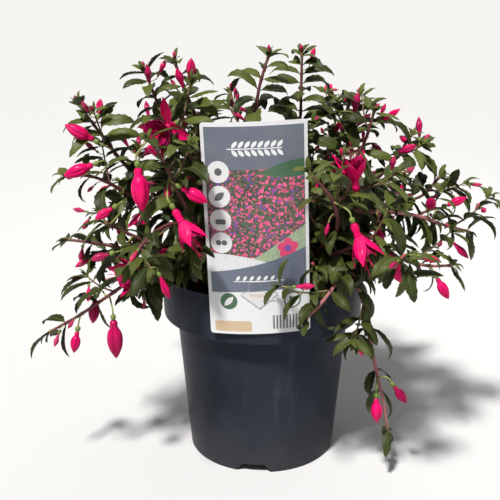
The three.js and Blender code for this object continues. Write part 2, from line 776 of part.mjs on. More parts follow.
// Side shoots first, then leaves on branches and shoots, each where it stands clear.
const shoots = [];
for (const { plant, route, spine, key } of skeleton) {
  const length = route.getLength();
  const count = nodeCount(length);
  for (let n = 1; n < count; n++) {
    if (n % shootEvery !== 2) continue;
    const u = nodeAt(n, count);
    const root = onSpine(spine, u);
    const tangent = route.getTangentAt(u);
    const [level, rise] = across(tangent);
    for (let attempt = 0; attempt < 6; attempt++) {
      const angle = between(0, 2 * Math.PI, key, n, 20) + attempt * 1.05;
      const out = turned(tangent, turned(level, rise, angle), 0.9);
      const long = between(...wood.shootLength, key, n, 21);
      const middle = root.clone().addScaledVector(out, long * 0.5);
      const end = middle.clone().addScaledVector(out, long * 0.45).addScaledVector(up, long * 0.16);
      const shoot = [root, middle, end];
      const points = [...onLine(root, middle, 4).slice(2), ...onLine(middle, end, 4)];
      if (isClear(points, 2.2, plant)) {
        take(points, 1.4, plant);
        shoots.push({ plant, spine: shoot, key: key * 100 + n });
        break;
      }
    }
  }
}

const leaves = [];
function addLeaf(stem, key, length, turn, tangent, root, young) {
  const shape = placeLeaf(stem, key, length, turn, tangent, root, young);
  if (shape) leaves.push({ plant: stem.plant, shape, young });
}

for (const branch of skeleton) {
  const { route, spine, key } = branch;
  const length = route.getLength();
  const count = nodeCount(length);
  for (let n = 0; n <= count; n++) {
    if (n % pairEvery && n < count) continue;
    const u = nodeAt(n, count);
    const size = THREE.MathUtils.lerp(leaf.longest, leaf.shortest, u) * between(0.85, 1.15, key, n, 30);
    const turn = (n % 2 ? Math.PI / 2 : 0) + between(-0.5, 0.5, key, n, 31);
    const tangent = route.getTangentAt(u);
    for (let hand = 0; hand < 2; hand++) {
      const leafKey = key * 10000 + n * 10 + hand;
      addLeaf(branch, leafKey, size, turn + hand * Math.PI, tangent, onSpine(spine, u), n === count);
    }
  }
}
for (const shoot of shoots) {
  const [, middle, end] = shoot.spine;
  const size = between(...leaf.young, shoot.key, 32);
  const turn = between(-0.5, 0.5, shoot.key, 33);
  const tangent = end.clone().sub(middle).normalize();
  const root = onSpine(shoot.spine, 0.97);
  for (let hand = 0; hand < 2; hand++) {
    addLeaf(shoot, shoot.key * 100 + hand, size, turn + hand * Math.PI, tangent, root, true);
  }
}

// ---------- the leafy stems as solids ----------

function branchSolid({ spine, rooted }) {
  const thick = rooted ? wood.rootRadius : wood.branchRadius;
  return rod(spine, (u) => THREE.MathUtils.lerp(thick, wood.tipRadius, u ** 0.7), rooted ? 4 : 3);
}

// A flower's stalk, swelling into the green ovary that the flower hangs from.
function stalkSolid({ bearer, bow, neck, ovary, axis }) {
  const along = (back) => ovary.clone().addScaledVector(axis, -back);
  const points = [bearer, bow, neck, along(4), along(0)];
  const radii = [wood.stalkRadius, wood.stalkRadius, wood.stalkRadius, 2.3, 1.6];
  return rod(points, (share) => radii[Math.round(share * 4)], 3);
}

function makeStem(plant) {
  const parts = skeleton.filter((b) => b.plant === plant).map(branchSolid);
  for (const { spine } of shoots.filter((s) => s.plant === plant)) {
    parts.push(rod(spine, (u) => wood.shootRadius * (1 - 0.3 * u), 3));
  }
  for (const stalk of stalks.filter((s) => s.plant === plant)) parts.push(stalkSolid(stalk));
  for (const { shape, young } of leaves.filter((l) => l.plant === plant)) {
    parts.push(young ? blade(shape, youngMargin, [0.4]) : blade(shape, toothedMargin, [0.25, 0.62]));
  }
  return joined(parts);
}

// ---------- the whole plant ----------

const finishes = {
  plastic: { color: '#2c3136', roughness: 0.45, metalness: 0 },
  peat: { color: '#3a2a1e', roughness: 0.95, metalness: 0 },
  printed: { color: '#e9ebec', roughness: 0.35, metalness: 0 },
  foliage: { color: '#4d6a33', roughness: 0.5, metalness: 0 },
  sepals: { color: '#d8146a', roughness: 0.4, metalness: 0 },
  petals: { color: '#8e1050', roughness: 0.45, metalness: 0 },
};

const whole = new THREE.Group();
const holeRadius = (wood.rootRadius + gap) / Math.cos(Math.PI / 6);
const roots = Object.values(plants).map(([x, y]) => ({ at: V(x, y, 0), radius: holeRadius }));

whole.add(meshOf('pot', makePot(), finishes.plastic));
whole.add(meshOf('potting_mix', makeMix(roots), finishes.peat));
whole.add(meshOf('plant_label', makeCard(), finishes.printed));
for (const plant of Object.keys(plants)) whole.add(meshOf(plant, makeStem(plant), finishes.foliage));
const counts = { bud: 0, bloom: 0 };
for (const bloom of blooms) {
  const { kind, base, tip } = bloom;
  counts[kind] += 1;
  const number = String(counts[kind]).padStart(2, '0');
  const solid = kind === 'bud' ? makeBud(base, tip) : makeBloom(bloom);
  whole.add(meshOf(`${kind}_${number}`, solid, finishes.sepals));
  if (kind === 'bloom') whole.add(meshOf(`corolla_${number}`, makeCorolla(bloom), finishes.petals));
}

export default whole;
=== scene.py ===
import json
import math

import bpy
import numpy as np
from mathutils import Matrix, Vector

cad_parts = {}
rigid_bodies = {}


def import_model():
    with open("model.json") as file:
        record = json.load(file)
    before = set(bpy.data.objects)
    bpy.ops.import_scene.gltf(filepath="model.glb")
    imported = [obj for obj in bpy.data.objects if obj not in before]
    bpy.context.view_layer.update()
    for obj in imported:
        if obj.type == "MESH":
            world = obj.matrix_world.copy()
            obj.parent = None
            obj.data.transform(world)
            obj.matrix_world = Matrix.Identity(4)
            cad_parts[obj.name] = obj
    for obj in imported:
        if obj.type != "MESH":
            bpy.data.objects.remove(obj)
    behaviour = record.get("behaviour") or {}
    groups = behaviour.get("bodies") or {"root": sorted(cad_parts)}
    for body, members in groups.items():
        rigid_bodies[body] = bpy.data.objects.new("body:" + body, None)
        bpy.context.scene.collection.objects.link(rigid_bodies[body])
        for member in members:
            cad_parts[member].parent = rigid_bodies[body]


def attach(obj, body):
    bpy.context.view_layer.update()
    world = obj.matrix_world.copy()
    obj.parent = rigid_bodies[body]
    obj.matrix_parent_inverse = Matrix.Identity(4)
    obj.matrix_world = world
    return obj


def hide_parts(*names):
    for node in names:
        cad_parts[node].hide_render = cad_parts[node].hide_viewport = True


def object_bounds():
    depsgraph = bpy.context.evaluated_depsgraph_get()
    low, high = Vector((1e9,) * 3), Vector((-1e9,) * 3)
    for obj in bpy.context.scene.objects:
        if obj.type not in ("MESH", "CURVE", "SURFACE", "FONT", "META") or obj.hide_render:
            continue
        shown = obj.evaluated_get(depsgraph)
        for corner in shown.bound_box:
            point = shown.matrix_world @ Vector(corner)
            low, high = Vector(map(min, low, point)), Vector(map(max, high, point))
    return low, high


# A fuchsia in bloom, in a standing nursery pot with its plant label on the rim.
# The plant's own rules are in millimetres, and a mesh takes them in metres.

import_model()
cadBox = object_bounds()
mm = 0.001
gap = 0.3  # between solids that touch on the real one
up = np.array([0.0, 0.0, 1.0])


# draws, directions and routes

def draw(*keys):  # a repeatable draw from 0 to 1 for each set of whole numbers
    h = 0x2F6E2B1
    for key in keys:
        h = ((h ^ (key + 0x9E3779B9)) * 0x85EBCA6B) & 0xFFFFFFFF
        h ^= h >> 13
        h = (h * 0xC2B2AE35) & 0xFFFFFFFF
        h ^= h >> 16
    return h / 2**32


def between(low, high, *keys):
    return low + (high - low) * draw(*keys)


def vec(*values):
    return np.array(values, float)


def unit(vector):
    return vector / max(np.linalg.norm(vector), 1e-9)


def across(direction):  # two directions across one: one level, one as far up as it can be
    level = np.cross(direction, up)
    if np.linalg.norm(level) < 0.05:
        level = vec(1, 0, 0)
    level = unit(level)
    return level, unit(np.cross(level, direction))


def turned(level, rise, angle):
    return level * math.cos(angle) + rise * math.sin(angle)


class Route:
    # a smooth curve through points, measured along its length
    def __init__(self, points):
        self.points = np.array(points, float)
        self.ticks = np.linspace(0, 1, 201)
        line = self.at(self.ticks)
        steps = np.linalg.norm(np.diff(line, axis=0), axis=1)
        self.reach = np.concatenate([[0], np.cumsum(steps)])
        self.length = self.reach[-1]

    def at(self, t):
        p = self.points
        last = len(p) - 1
        place = np.clip(np.atleast_1d(t), 0, 1) * last
        i = np.minimum(place.astype(int), last - 1)
        w = (place - i)[:, None]
        before = np.where((i > 0)[:, None], p[np.maximum(i - 1, 0)], 2 * p[0] - p[1])
        after = np.where((i < last - 1)[:, None], p[np.minimum(i + 2, last)], 2 * p[last] - p[last - 1])
        a, b = p[i], p[i + 1]
        ta, tb = 0.5 * (b - before), 0.5 * (after - a)
        return a + ta * w + (-3 * a + 3 * b - 2 * ta - tb) * w**2 + (2 * a - 2 * b + ta + tb) * w**3

    def share(self, u):
        return np.interp(np.asarray(u) * self.length, self.reach, self.ticks)

    def pointsAt(self, u):
        return self.at(self.share(u))

    def tangentAt(self, u):
        t = float(self.share(u))
        low, high = max(t - 1e-4, 0), min(t + 1e-4, 1)
        return unit(self.at(high)[0] - self.at(low)[0])


def curveThrough(pairs, places):  # a smooth run of widths through a few pairs of place and width
    line = Route([(place, width, 0) for place, width in pairs]).at(np.linspace(0, 1, 400))
    return np.interp(places, line[:, 0], line[:, 1])


def onLine(start, end, step):
    count = max(1, math.ceil(np.linalg.norm(end - start) / step))
    return [start + (end - start) * i / count for i in range(count + 1)]


# meshes

def setMark(mesh, name, kind, values):  # a value for each point of a mesh
    field = {"FLOAT_COLOR": "color", "FLOAT_VECTOR": "vector"}.get(kind, "value")
    mesh.attributes.new(name, kind, "POINT").data.foreach_set(field, np.ravel(values))


def makeMesh(name, points, faces, marks=None, materials=()):
    mesh = bpy.data.meshes.new(name)
    mesh.from_pydata((np.asarray(points) * mm).tolist(), [], faces)
    for mark, values in (marks or {}).items():
        setMark(mesh, mark, "FLOAT", np.asarray(values, np.float32))
    for material in materials:
        mesh.materials.append(material)
    mesh.shade_smooth()
    mesh.update()
    return mesh


def place(name, mesh, node, slot):  # a finished piece that stands for one CAD node
    piece = bpy.data.objects.new(name, mesh)
    bpy.context.scene.collection.objects.link(piece)
    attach(piece, "root")
    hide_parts(node)


class Build:
    # gathers the surfaces of one mesh, with their marks
    def __init__(self):
        self.points, self.faces, self.marks, self.count = [], [], {}, 0

    def add(self, points, faces, **marks):
        points = np.asarray(points, float)
        self.points.append(points)
        self.faces += [[corner + self.count for corner in face] for face in faces]
        for mark, values in marks.items():
            values = np.asarray(values, float)
            if values.ndim == 0:
                values = np.full(len(points), float(values))
            self.marks.setdefault(mark, []).append(values)
        self.count += len(points)

    def mesh(self, name, materials):
        marks = {mark: np.concatenate(values) for mark, values in self.marks.items()}
        return makeMesh(name, np.concatenate(self.points), self.faces, marks, materials)


def gridFaces(rows, columns, closed=False, flip=False, start=0):
    faces = []
    for r in range(rows - 1):
        for c in range(columns if closed else columns - 1):
            d = (c + 1) % columns
            face = [r * columns + c, r * columns + d, (r + 1) * columns + d, (r + 1) * columns + c]
            faces.append([start + corner for corner in (face[::-1] if flip else face)])
    return faces


def addTube(build, rings, **marks):  # closed round rings with a flat end cap on both ends
    rows, columns = rings.shape[:2]
    faces = gridFaces(rows, columns, closed=True)
    faces.append(list(range(columns))[::-1])
    faces.append([(rows - 1) * columns + c for c in range(columns)])
    spread = {}
    for mark, values in marks.items():
        values = np.asarray(values, float)
        spread[mark] = np.repeat(values, columns) if values.shape == (rows,) else values
    build.add(rings.reshape(-1, 3), faces, **spread)


def rodRings(points, radii, sides):
    points = np.asarray(points, float)
    level, rings = None, []
    for i, point in enumerate(points):
        direction = unit(points[min(i + 1, len(points) - 1)] - points[max(i - 1, 0)])
        if level is None:
            level = across(direction)[0]
        level = unit(level - direction * level.dot(direction))
        rise = np.cross(direction, level)
        turns = [2 * math.pi * k / sides for k in range(sides)]
        rings.append([point + radii[i] * turned(level, rise, turn) for turn in turns])
    return np.array(rings)


def addSheet(build, front, back, **marks):  # a thin closed sheet between two grids of points
    rows, columns = front.shape[:2]
    total = rows * columns
    edge = list(range(columns))
    edge += [r * columns + columns - 1 for r in range(1, rows)]
    edge += [(rows - 1) * columns + c for c in range(columns - 2, -1, -1)]
    edge += [r * columns for r in range(rows - 2, 0, -1)]
    flat = [front.reshape(-1, 3), back.reshape(-1, 3)]
    rim = np.concatenate([flat[0][edge], flat[1][edge]])
    n = len(edge)
    faces = gridFaces(rows, columns) + gridFaces(rows, columns, flip=True, start=total)
    base = 2 * total
    faces += [[base + i, base + n + i, base + n + (i + 1) % n, base + (i + 1) % n] for i in range(n)]
    spread = {}
    for mark, values in marks.items():
        values = np.asarray(values, float)
        if values.ndim == 0:
            values = np.full((rows, columns), float(values))
        run = values.ravel()
        spread[mark] = np.concatenate([run, run, run[edge], run[edge]])
    side = np.concatenate([np.ones(total), np.zeros(total + 2 * n)])
    build.add(np.concatenate([*flat, rim]), faces, front=side, **spread)


# shader values and finishes

class Value:
    # a value in a shader, whose sums and products add their own nodes
    def __init__(self, finish, socket):
        self.finish = finish
        self.socket = socket

    def maths(self, operation, *terms, clamp=False):
        settings = {"operation": operation, "use_clamp": clamp}
        return self.finish.node("ShaderNodeMath", settings, terms)

    def __add__(self, other):
        return self.maths("ADD", self, other)

    def __radd__(self, other):
        return self.maths("ADD", other, self)

    def __sub__(self, other):
        return self.maths("SUBTRACT", self, other)

    def __rsub__(self, other):
        return self.maths("SUBTRACT", other, self)

    def __mul__(self, other):
        return self.maths("MULTIPLY", self, other)

    def __rmul__(self, other):
        return self.maths("MULTIPLY", other, self)

    def __truediv__(self, other):
        return self.maths("DIVIDE", self, other)

    def __rtruediv__(self, other):
        return self.maths("DIVIDE", other, self)

    def __pow__(self, other):
        return self.maths("POWER", self, other)

    def __rpow__(self, other):
        return self.maths("POWER", other, self)

    def __gt__(self, other):
        return self.maths("GREATER_THAN", self, other)

    def __lt__(self, other):
        return self.maths("LESS_THAN", self, other)

    def __abs__(self):
        return self.maths("ABSOLUTE", self)

    def held(self):  # kept from 0 to 1
        return self.maths("ADD", self, 0.0, clamp=True)

    def atLeast(self, other):
        return self.maths("MAXIMUM", self, other)

    def fraction(self):
        return self.maths("FRACT", self)

    def other(self, output):  # another output of the same node
        return Value(self.finish, self.socket.node.outputs[output])


class Finish:
    # a material with one main shader, and short ways to its nodes
    def __init__(self, name, **fixed):
        self.material = bpy.data.materials.new(name)
        self.material.use_nodes = True
        self.tree = self.material.node_tree
        self.shader = self.tree.nodes["Principled BSDF"]
        for socket, value in fixed.items():
            self.shader.inputs[socket.replace("_", " ")].default_value = value

    def node(self, kind, settings=None, inputs=(), output=0):
        made = self.tree.nodes.new(kind)
        for setting, value in (settings or {}).items():
            if setting == "stops":
                ramp = made.color_ramp.elements
                while len(ramp) < len(value):
                    ramp.new(0.5)
                for element, (position, colour) in zip(ramp, value):
                    element.position, element.color = position, (*colour, 1)
            else:
                setattr(made, setting, value)
        pairs = inputs.items() if isinstance(inputs, dict) else enumerate(inputs)
        for socket, value in pairs:
            self.feed(made.inputs[socket], value)
        return Value(self, made.outputs[output])

    def feed(self, socket, value):
        if isinstance(value, Value):
            self.tree.links.new(value.socket, socket)
        elif isinstance(value, tuple) and socket.type == "RGBA":
            socket.default_value = (*value, 1)
        else:
            socket.default_value = value

    def set(self, socket, value):
        self.feed(self.shader.inputs[socket], value)

    def mark(self, name, colour=False):
        output = 0 if colour else 2
        return self.node("ShaderNodeAttribute", {"attribute_name": name}, output=output)

    def blend(self, factor, first, second):
        sockets = {0: factor, 6: first, 7: second}
        return self.node("ShaderNodeMix", {"data_type": "RGBA"}, sockets, output=2)

    def spots(self, scale, detail=2.0, roughness=0.5, stretch=None, place=None):
        spot = place or self.node("ShaderNodeTexCoord", output=3)
        if stretch:
            spot = self.node("ShaderNodeMapping", {}, {"Vector": spot, "Scale": stretch})
        inputs = {"Vector": spot, "Scale": scale, "Detail": detail, "Roughness": roughness}
        return self.node("ShaderNodeTexNoise", {}, inputs)

    def join(self, x, y, z=0.0):
        return self.node("ShaderNodeCombineXYZ", {}, (x, y, z))

    def bump(self, height, strength=0.3, distance=0.001, normal=None):
        inputs = {"Strength": strength, "Distance": distance, "Height": height}
        if normal:
            inputs["Normal"] = normal
        return self.node("ShaderNodeBump", {}, inputs)


print("stage: camera, floor and lights")

view = {
    "place": (-0.0125, -0.736, 0.4098),  # metres
    "pitch": 15.65,  # degrees below level
    "lens": 55.44,
}


def makeCamera():
    camera = bpy.data.cameras.new("camera")
    camera.lens = view["lens"]
    holder = bpy.data.objects.new("camera", camera)
    holder.location = view["place"]
    holder.rotation_euler = (math.radians(90 - view["pitch"]), 0, 0)
    bpy.context.scene.collection.objects.link(holder)
    bpy.context.scene.camera = holder


stage = {"radius": 40.0, "sides": 64, "tone": (0.5, 0.5, 0.505)}  # metres


def makeFloor():  # a wide pale floor
    points = [(0.0, 0.0, 0.0)]
    reach = stage["radius"] / mm
    for k in range(stage["sides"]):
        turn = 2 * math.pi * k / stage["sides"]
        points.append((reach * math.cos(turn), reach * math.sin(turn), 0.0))
    faces = [[0, 1 + k, 1 + (k + 1) % stage["sides"]] for k in range(stage["sides"])]
    pale = Finish("paleFloor", Roughness=0.95, Specular_IOR_Level=0.1)
    tone = stage["tone"]
    pale.set("Base Color", pale.blend(pale.spots(2.0, 2.0), tone, tuple(0.99 * v for v in tone)))
    floor = bpy.data.objects.new("floor", makeMesh("floor", points, faces, materials=[pale.material]))
    bpy.context.scene.collection.objects.link(floor)


sun = {"from": (-0.5, -0.95, 1.75), "power": 6.3, "spread": 7, "tone": (1.0, 0.98, 0.95)}
lampsAim = (0, 0, 0.22)
lamps = {
    "fill": {"at": (1.5, -1.3, 0.9), "size": 1.2, "power": 3, "tone": (0.92, 0.96, 1.0)},
    "back": {"at": (0.4, 0.9, 1.5), "size": 0.8, "power": 5, "tone": (1.0, 0.99, 0.97)},
}
sky = {
    "tone": (1.0, 0.982, 0.96),
    "low": 0.927,  # its strength from the horizon up to "from", where it meets the floor's tone
    "high": 0.17,  # and from "to" upwards
    "from": 0.045,
    "to": 0.25,
}


def makeLights():
    light = bpy.data.lights.new("key", "SUN")
    light.energy, light.color = sun["power"], sun["tone"]
    light.angle = math.radians(sun["spread"])
    holder = bpy.data.objects.new("key", light)
    holder.rotation_euler = (-Vector(sun["from"])).to_track_quat("-Z", "Y").to_euler()
    bpy.context.scene.collection.objects.link(holder)
    for name, lamp in lamps.items():
        light = bpy.data.lights.new(name, "AREA")
        light.size = lamp["size"]
        light.energy = lamp["power"]
        light.color = lamp["tone"]
        holder = bpy.data.objects.new(name, light)
        holder.location = lamp["at"]
        aim = Vector(lampsAim) - holder.location
        holder.rotation_euler = aim.to_track_quat("-Z", "Y").to_euler()
        bpy.context.scene.collection.objects.link(holder)
    world = bpy.data.worlds.new("softSky")
    world.use_nodes = True
    tree = world.node_tree
    spot = tree.nodes.new("ShaderNodeTexCoord")
    parts = tree.nodes.new("ShaderNodeSeparateXYZ")
    fade = tree.nodes.new("ShaderNodeMapRange")
    ends = {"From Min": sky["from"], "From Max": sky["to"], "To Min": sky["low"], "To Max": sky["high"]}
    for socket, value in ends.items():
        fade.inputs[socket].default_value = value
    light = tree.nodes["Background"]
    light.inputs["Color"].default_value = (*sky["tone"], 1)
    tree.links.new(spot.outputs["Generated"], parts.inputs[0])
    tree.links.new(parts.outputs["Z"], fade.inputs["Value"])
    tree.links.new(fade.outputs["Result"], light.inputs["Strength"])
    bpy.context.scene.world = world
    bpy.context.scene.view_settings.view_transform = "Standard"


makeCamera()
makeFloor()
makeLights()

print("stage: pot")

pot = {
    "height": 187,
    "rimRadius": 100.5,
    "collarRadius": 98.5,
    "shoulderRadius": 86,
    "shoulderHeight": 143,
    "footRadius": 74,
    "wall": 1.8,
    "floorHeight": 9,
    "notchCount": 4,
    "notchWidth": 34,
    "notchTop": 22,
    "notchHeight": 8,
    "firstTurn": -97,  # degrees
    "drainCount": 6,
    "drainRadius": 6,
    "drainRing": 50,
    "sides": 144,
    "dark": (0.0118, 0.0152, 0.024),
    "pale": (0.0305, 0.038, 0.0548),
    "dust": (0.075, 0.068, 0.06),
    "scuff": (0.07, 0.077, 0.092),
}


def inwardWall(z):
    share = z / pot["shoulderHeight"]
    body = pot["footRadius"] + (pot["shoulderRadius"] - pot["footRadius"]) * share
    rise = (z - pot["shoulderHeight"]) / (pot["height"] - pot["shoulderHeight"])
    collar = pot["collarRadius"] + (pot["rimRadius"] - pot["collarRadius"]) * rise
    return (collar if z > pot["shoulderHeight"] + pot["wall"] else body) - pot["wall"]


def rounded(corner, before, after, radius, steps=4):  # a corner of a profile turned into a short arc
    corner, before, after = vec(*corner), vec(*before), vec(*after)
    start = corner + unit(before - corner) * radius
    end = corner + unit(after - corner) * radius
    shares = [i / steps for i in range(steps + 1)]
    return [tuple((1 - t) ** 2 * start + 2 * t * (1 - t) * corner + t * t * end) for t in shares]


def potProfile():
    height, wall, shoulder = pot["height"], pot["wall"], pot["shoulderHeight"]
    foot, rim, collar = pot["footRadius"], pot["rimRadius"], pot["collarRadius"]
    inner = shoulder + wall
    corners = [
        ((inwardWall(pot["floorHeight"]), pot["floorHeight"]), 0.5),
        ((foot - wall, 0), 0.3),
        ((foot - 0.1, 0), 0.5),
        ((pot["shoulderRadius"], shoulder), 1.2),
        ((collar, shoulder), 1.1),
        ((rim, height), 0.8),
        ((rim - wall, height), 0.6),
        ((inwardWall(inner + gap), inner), 0.8),
        ((inwardWall(shoulder), inner), 1.0),
        ((inwardWall(pot["floorHeight"] + wall), pot["floorHeight"] + wall), 0.8),
    ]
    path = [(0.0, pot["floorHeight"])] + [c for c, _ in corners] + [(0.0, pot["floorHeight"] + wall)]
    profile = [path[0]]
    for i, (corner, radius) in enumerate(corners):
        profile += rounded(corner, path[i], path[i + 2], radius)
    return profile + [path[-1]]


def notchLift(turn):  # how far the foot is cut away at a turn about the axis, from 0 to 1
    nearest = math.inf
    for i in range(pot["notchCount"]):
        middle = math.radians(pot["firstTurn"] + 360 / pot["notchCount"] * i)
        apart = math.atan2(math.sin(turn - middle), math.cos(turn - middle))
        nearest = min(nearest, abs(apart) * pot["footRadius"])
    low, high = pot["notchWidth"] / 2, pot["notchTop"] / 2
    return min(1.0, max(0.0, (low - nearest) / (low - high)))


def potTurns():  # even turns, and one at each corner of the notches
    turns = [2 * math.pi * k / pot["sides"] for k in range(pot["sides"])]
    for i in range(pot["notchCount"]):
        middle = math.radians(pot["firstTurn"] + 360 / pot["notchCount"] * i)
        for edge in (pot["notchWidth"] / 2, pot["notchTop"] / 2):
            for hand in (-1, 1):
                turns.append((middle + hand * edge / pot["footRadius"]) % (2 * math.pi))
    return sorted(set(round(turn, 6) for turn in turns))


def potFinish():
    plastic = Finish("darkPotPlastic", IOR=1.2, Specular_IOR_Level=0.25)
    coord = plastic.node("ShaderNodeTexCoord", output=3)
    height = plastic.node("ShaderNodeSeparateXYZ", {}, [coord], output=2)  # in metres
    cloud = plastic.spots(9.0, 3.0)
    flow = plastic.spots(24.0, 4.0, stretch=(1, 1, 0.14))
    scuff = (plastic.spots(70.0, 6.0, 0.7, stretch=(1, 1, 0.12)) - 0.57).held() * 7.0
    base = plastic.blend((cloud * 0.6 + flow * 0.5 - 0.2).held(), pot["dark"], pot["pale"])
    low = (1 - height * 14.0).held()  # 1 at the foot, 0 from about 7 cm up
    grime = ((low * 0.5 + 0.06) * plastic.spots(38.0, 5.0)).held()
    base = plastic.blend(grime, base, pot["dust"])
    base = plastic.blend((scuff * 0.3).held(), base, pot["scuff"])
    plastic.set("Base Color", base)
    plastic.set("Roughness", 0.33 + cloud * 0.16 + scuff * 0.12)
    grain = plastic.spots(900.0, 2.0) * 0.12 + plastic.spots(160.0, 2.0, stretch=(1, 1, 0.2)) * 0.5
    plastic.set("Normal", plastic.bump(grain, 0.12, 0.0006))
    return plastic.material


def makePot():
    turns, profile = potTurns(), potProfile()
    rows = []
    for r, z in profile[1:-1]:
        ring = []
        for turn in turns:
            lift = notchLift(turn) * pot["notchHeight"] if z < 1 else 0.0
            grow = (pot["shoulderRadius"] - pot["footRadius"]) / pot["shoulderHeight"] * lift
            ring.append(((r + grow) * math.cos(turn), (r + grow) * math.sin(turn), z + lift))
        rows.append(ring)
    build = Build()
    rings = np.array(rows)
    count = len(turns)
    points = np.concatenate([rings.reshape(-1, 3), [(0, 0, profile[0][1]), (0, 0, profile[-1][1])]])
    faces = gridFaces(len(rows), count, closed=True)
    last = (len(rows) - 1) * count
    faces += [[len(points) - 2, (k + 1) % count, k] for k in range(count)]
    faces += [[len(points) - 1, last + k, last + (k + 1) % count] for k in range(count)]
    build.add(points, faces)
    shell = bpy.data.objects.new("potShell", build.mesh("potShell", [potFinish()]))
    drains = Build()
    for i in range(pot["drainCount"]):
        angle = 2 * math.pi * (i + 0.5) / pot["drainCount"]
        middle = vec(pot["drainRing"] * math.cos(angle), pot["drainRing"] * math.sin(angle), 0)
        ends = [middle + up * z for z in (pot["floorHeight"] - 5, pot["floorHeight"] + 7)]
        addTube(drains, rodRings(ends, [pot["drainRadius"]] * 2, 20))
    cutter = bpy.data.objects.new("drainCutter", drains.mesh("drainCutter", []))
    for item in (shell, cutter):
        bpy.context.scene.collection.objects.link(item)
    cut = shell.modifiers.new("drains", "BOOLEAN")
    cut.operation, cut.solver, cut.object = "DIFFERENCE", "EXACT", cutter
    mesh = settled(shell, "fine_pot")
    bpy.data.objects.remove(cutter)
    bpy.data.objects.remove(shell)
    sharpen(mesh, 50)
    place("fine_pot", mesh, "pot", "pot_plastic")


def settled(item, name):  # the mesh of an object as its modifiers leave it
    graph = bpy.context.evaluated_depsgraph_get()
    mesh = bpy.data.meshes.new_from_object(item.evaluated_get(graph), depsgraph=graph)
    mesh.name = name
    return mesh


def sharpen(mesh, degrees):
    mesh.shade_smooth()
    normals = np.array([face.normal[:] for face in mesh.polygons])
    sides = {}
    for face in mesh.polygons:
        for edge in face.edge_keys:
            sides.setdefault(edge, []).append(face.index)
    limit = math.cos(math.radians(degrees))
    for edge in mesh.edges:
        pair = sides.get(edge.key, [])
        edge.use_edge_sharp = bool(len(pair) == 2 and normals[pair[0]].dot(normals[pair[1]]) < limit)


makePot()

print("stage: potting mix")

mix = {
    "height": 166,
    "edge": 163,
    "sides": 120,
    "rings": 16,
    "easeOver": 14,  # how far in from its edge it reaches its full height
    "chips": 900,
    "chipSize": (2.2, 6.5),
    "chipsReach": 93,  # the radius of the top that they lie on
    "seed": 5,
    "dark": (0.014, 0.009, 0.006),
    "brown": (0.075, 0.041, 0.022),
    "pale": (0.2, 0.13, 0.08),
}


def mixFinish(name, chip):
    peat = Finish(name, Roughness=0.95)
    crumbs = peat.spots(160.0, 6.0, 0.7)
    patches = peat.spots(28.0, 3.0)
    stops = [(0.3, mix["dark"]), (0.55, mix["brown"]), (0.8, mix["pale"] if chip else mix["brown"])]
    tone = peat.node("ShaderNodeValToRGB", {"stops": stops}, [crumbs * 0.6 + patches * 0.4])
    peat.set("Base Color", tone)
    peat.set("Roughness", 0.85 + crumbs * 0.15)
    peat.set("Normal", peat.bump(crumbs + peat.spots(480.0, 3.0) * 0.4, 0.8, 0.0012))
    return peat.material


def mixHeight(x, y):
    swell = 1.1 * math.sin(0.09 * x + 1.0) * math.sin(0.08 * y)
    swell += 0.6 * math.sin(0.23 * x) * math.sin(0.21 * y + 2)
    return mix["height"] + swell


def newTree(name, given):  # a tree of geometry nodes, with the inputs it is given by name and kind
    tree = bpy.data.node_groups.new(name, "GeometryNodeTree")
    for label, kind in given.items():
        tree.interface.new_socket(name=label, in_out="INPUT", socket_type="NodeSocket" + kind)
    tree.interface.new_socket(name="Geometry", in_out="OUTPUT", socket_type="NodeSocketGeometry")
    return tree


def chipTree(chip, finish):  # bark chips scattered on the mix's top
    tree = newTree("barkChips", {
        "Surface": "Geometry",
        "Chips per square metre": "Float",
        "Smallest": "Float",
        "Largest": "Float",
        "Seed": "Int",
    })
    nodes, links = tree.nodes, tree.links
    given = nodes.new("NodeGroupInput")
    result = nodes.new("NodeGroupOutput")
    normal = nodes.new("GeometryNodeInputNormal")
    parts = nodes.new("ShaderNodeSeparateXYZ")
    topmost = nodes.new("FunctionNodeCompare")
    topmost.operation = "GREATER_THAN"
    topmost.inputs["B"].default_value = 0.7
    spread = nodes.new("GeometryNodeDistributePointsOnFaces")
    shape = nodes.new("GeometryNodeObjectInfo")
    shape.inputs["Object"].default_value = chip
    turn = nodes.new("FunctionNodeRandomValue")
    turn.data_type = "FLOAT_VECTOR"
    turn.inputs["Min"].default_value = (-0.5, -0.5, 0)
    turn.inputs["Max"].default_value = (0.5, 0.5, 6.283)
    size = nodes.new("FunctionNodeRandomValue")
    size.data_type = "FLOAT"
    scatter = nodes.new("GeometryNodeInstanceOnPoints")
    realise = nodes.new("GeometryNodeRealizeInstances")
    paint = nodes.new("GeometryNodeSetMaterial")
    paint.inputs["Material"].default_value = finish
    both = nodes.new("GeometryNodeJoinGeometry")
    links.new(normal.outputs[0], parts.inputs[0])
    links.new(parts.outputs[2], topmost.inputs["A"])
    links.new(given.outputs["Surface"], spread.inputs["Mesh"])
    links.new(topmost.outputs[0], spread.inputs["Selection"])
    links.new(given.outputs["Chips per square metre"], spread.inputs["Density"])
    links.new(given.outputs["Seed"], spread.inputs["Seed"])
    links.new(given.outputs["Smallest"], size.inputs[2])  # the smallest and largest single number
    links.new(given.outputs["Largest"], size.inputs[3])
    links.new(spread.outputs["Points"], scatter.inputs["Points"])
    links.new(shape.outputs["Geometry"], scatter.inputs["Instance"])
    links.new(turn.outputs[0], scatter.inputs["Rotation"])
    links.new(size.outputs[1], scatter.inputs["Scale"])
    links.new(scatter.outputs[0], realise.inputs[0])
    links.new(realise.outputs[0], paint.inputs[0])
    links.new(given.outputs["Surface"], both.inputs[0])
    links.new(paint.outputs[0], both.inputs[0])
    links.new(both.outputs[0], result.inputs[0])
    return tree


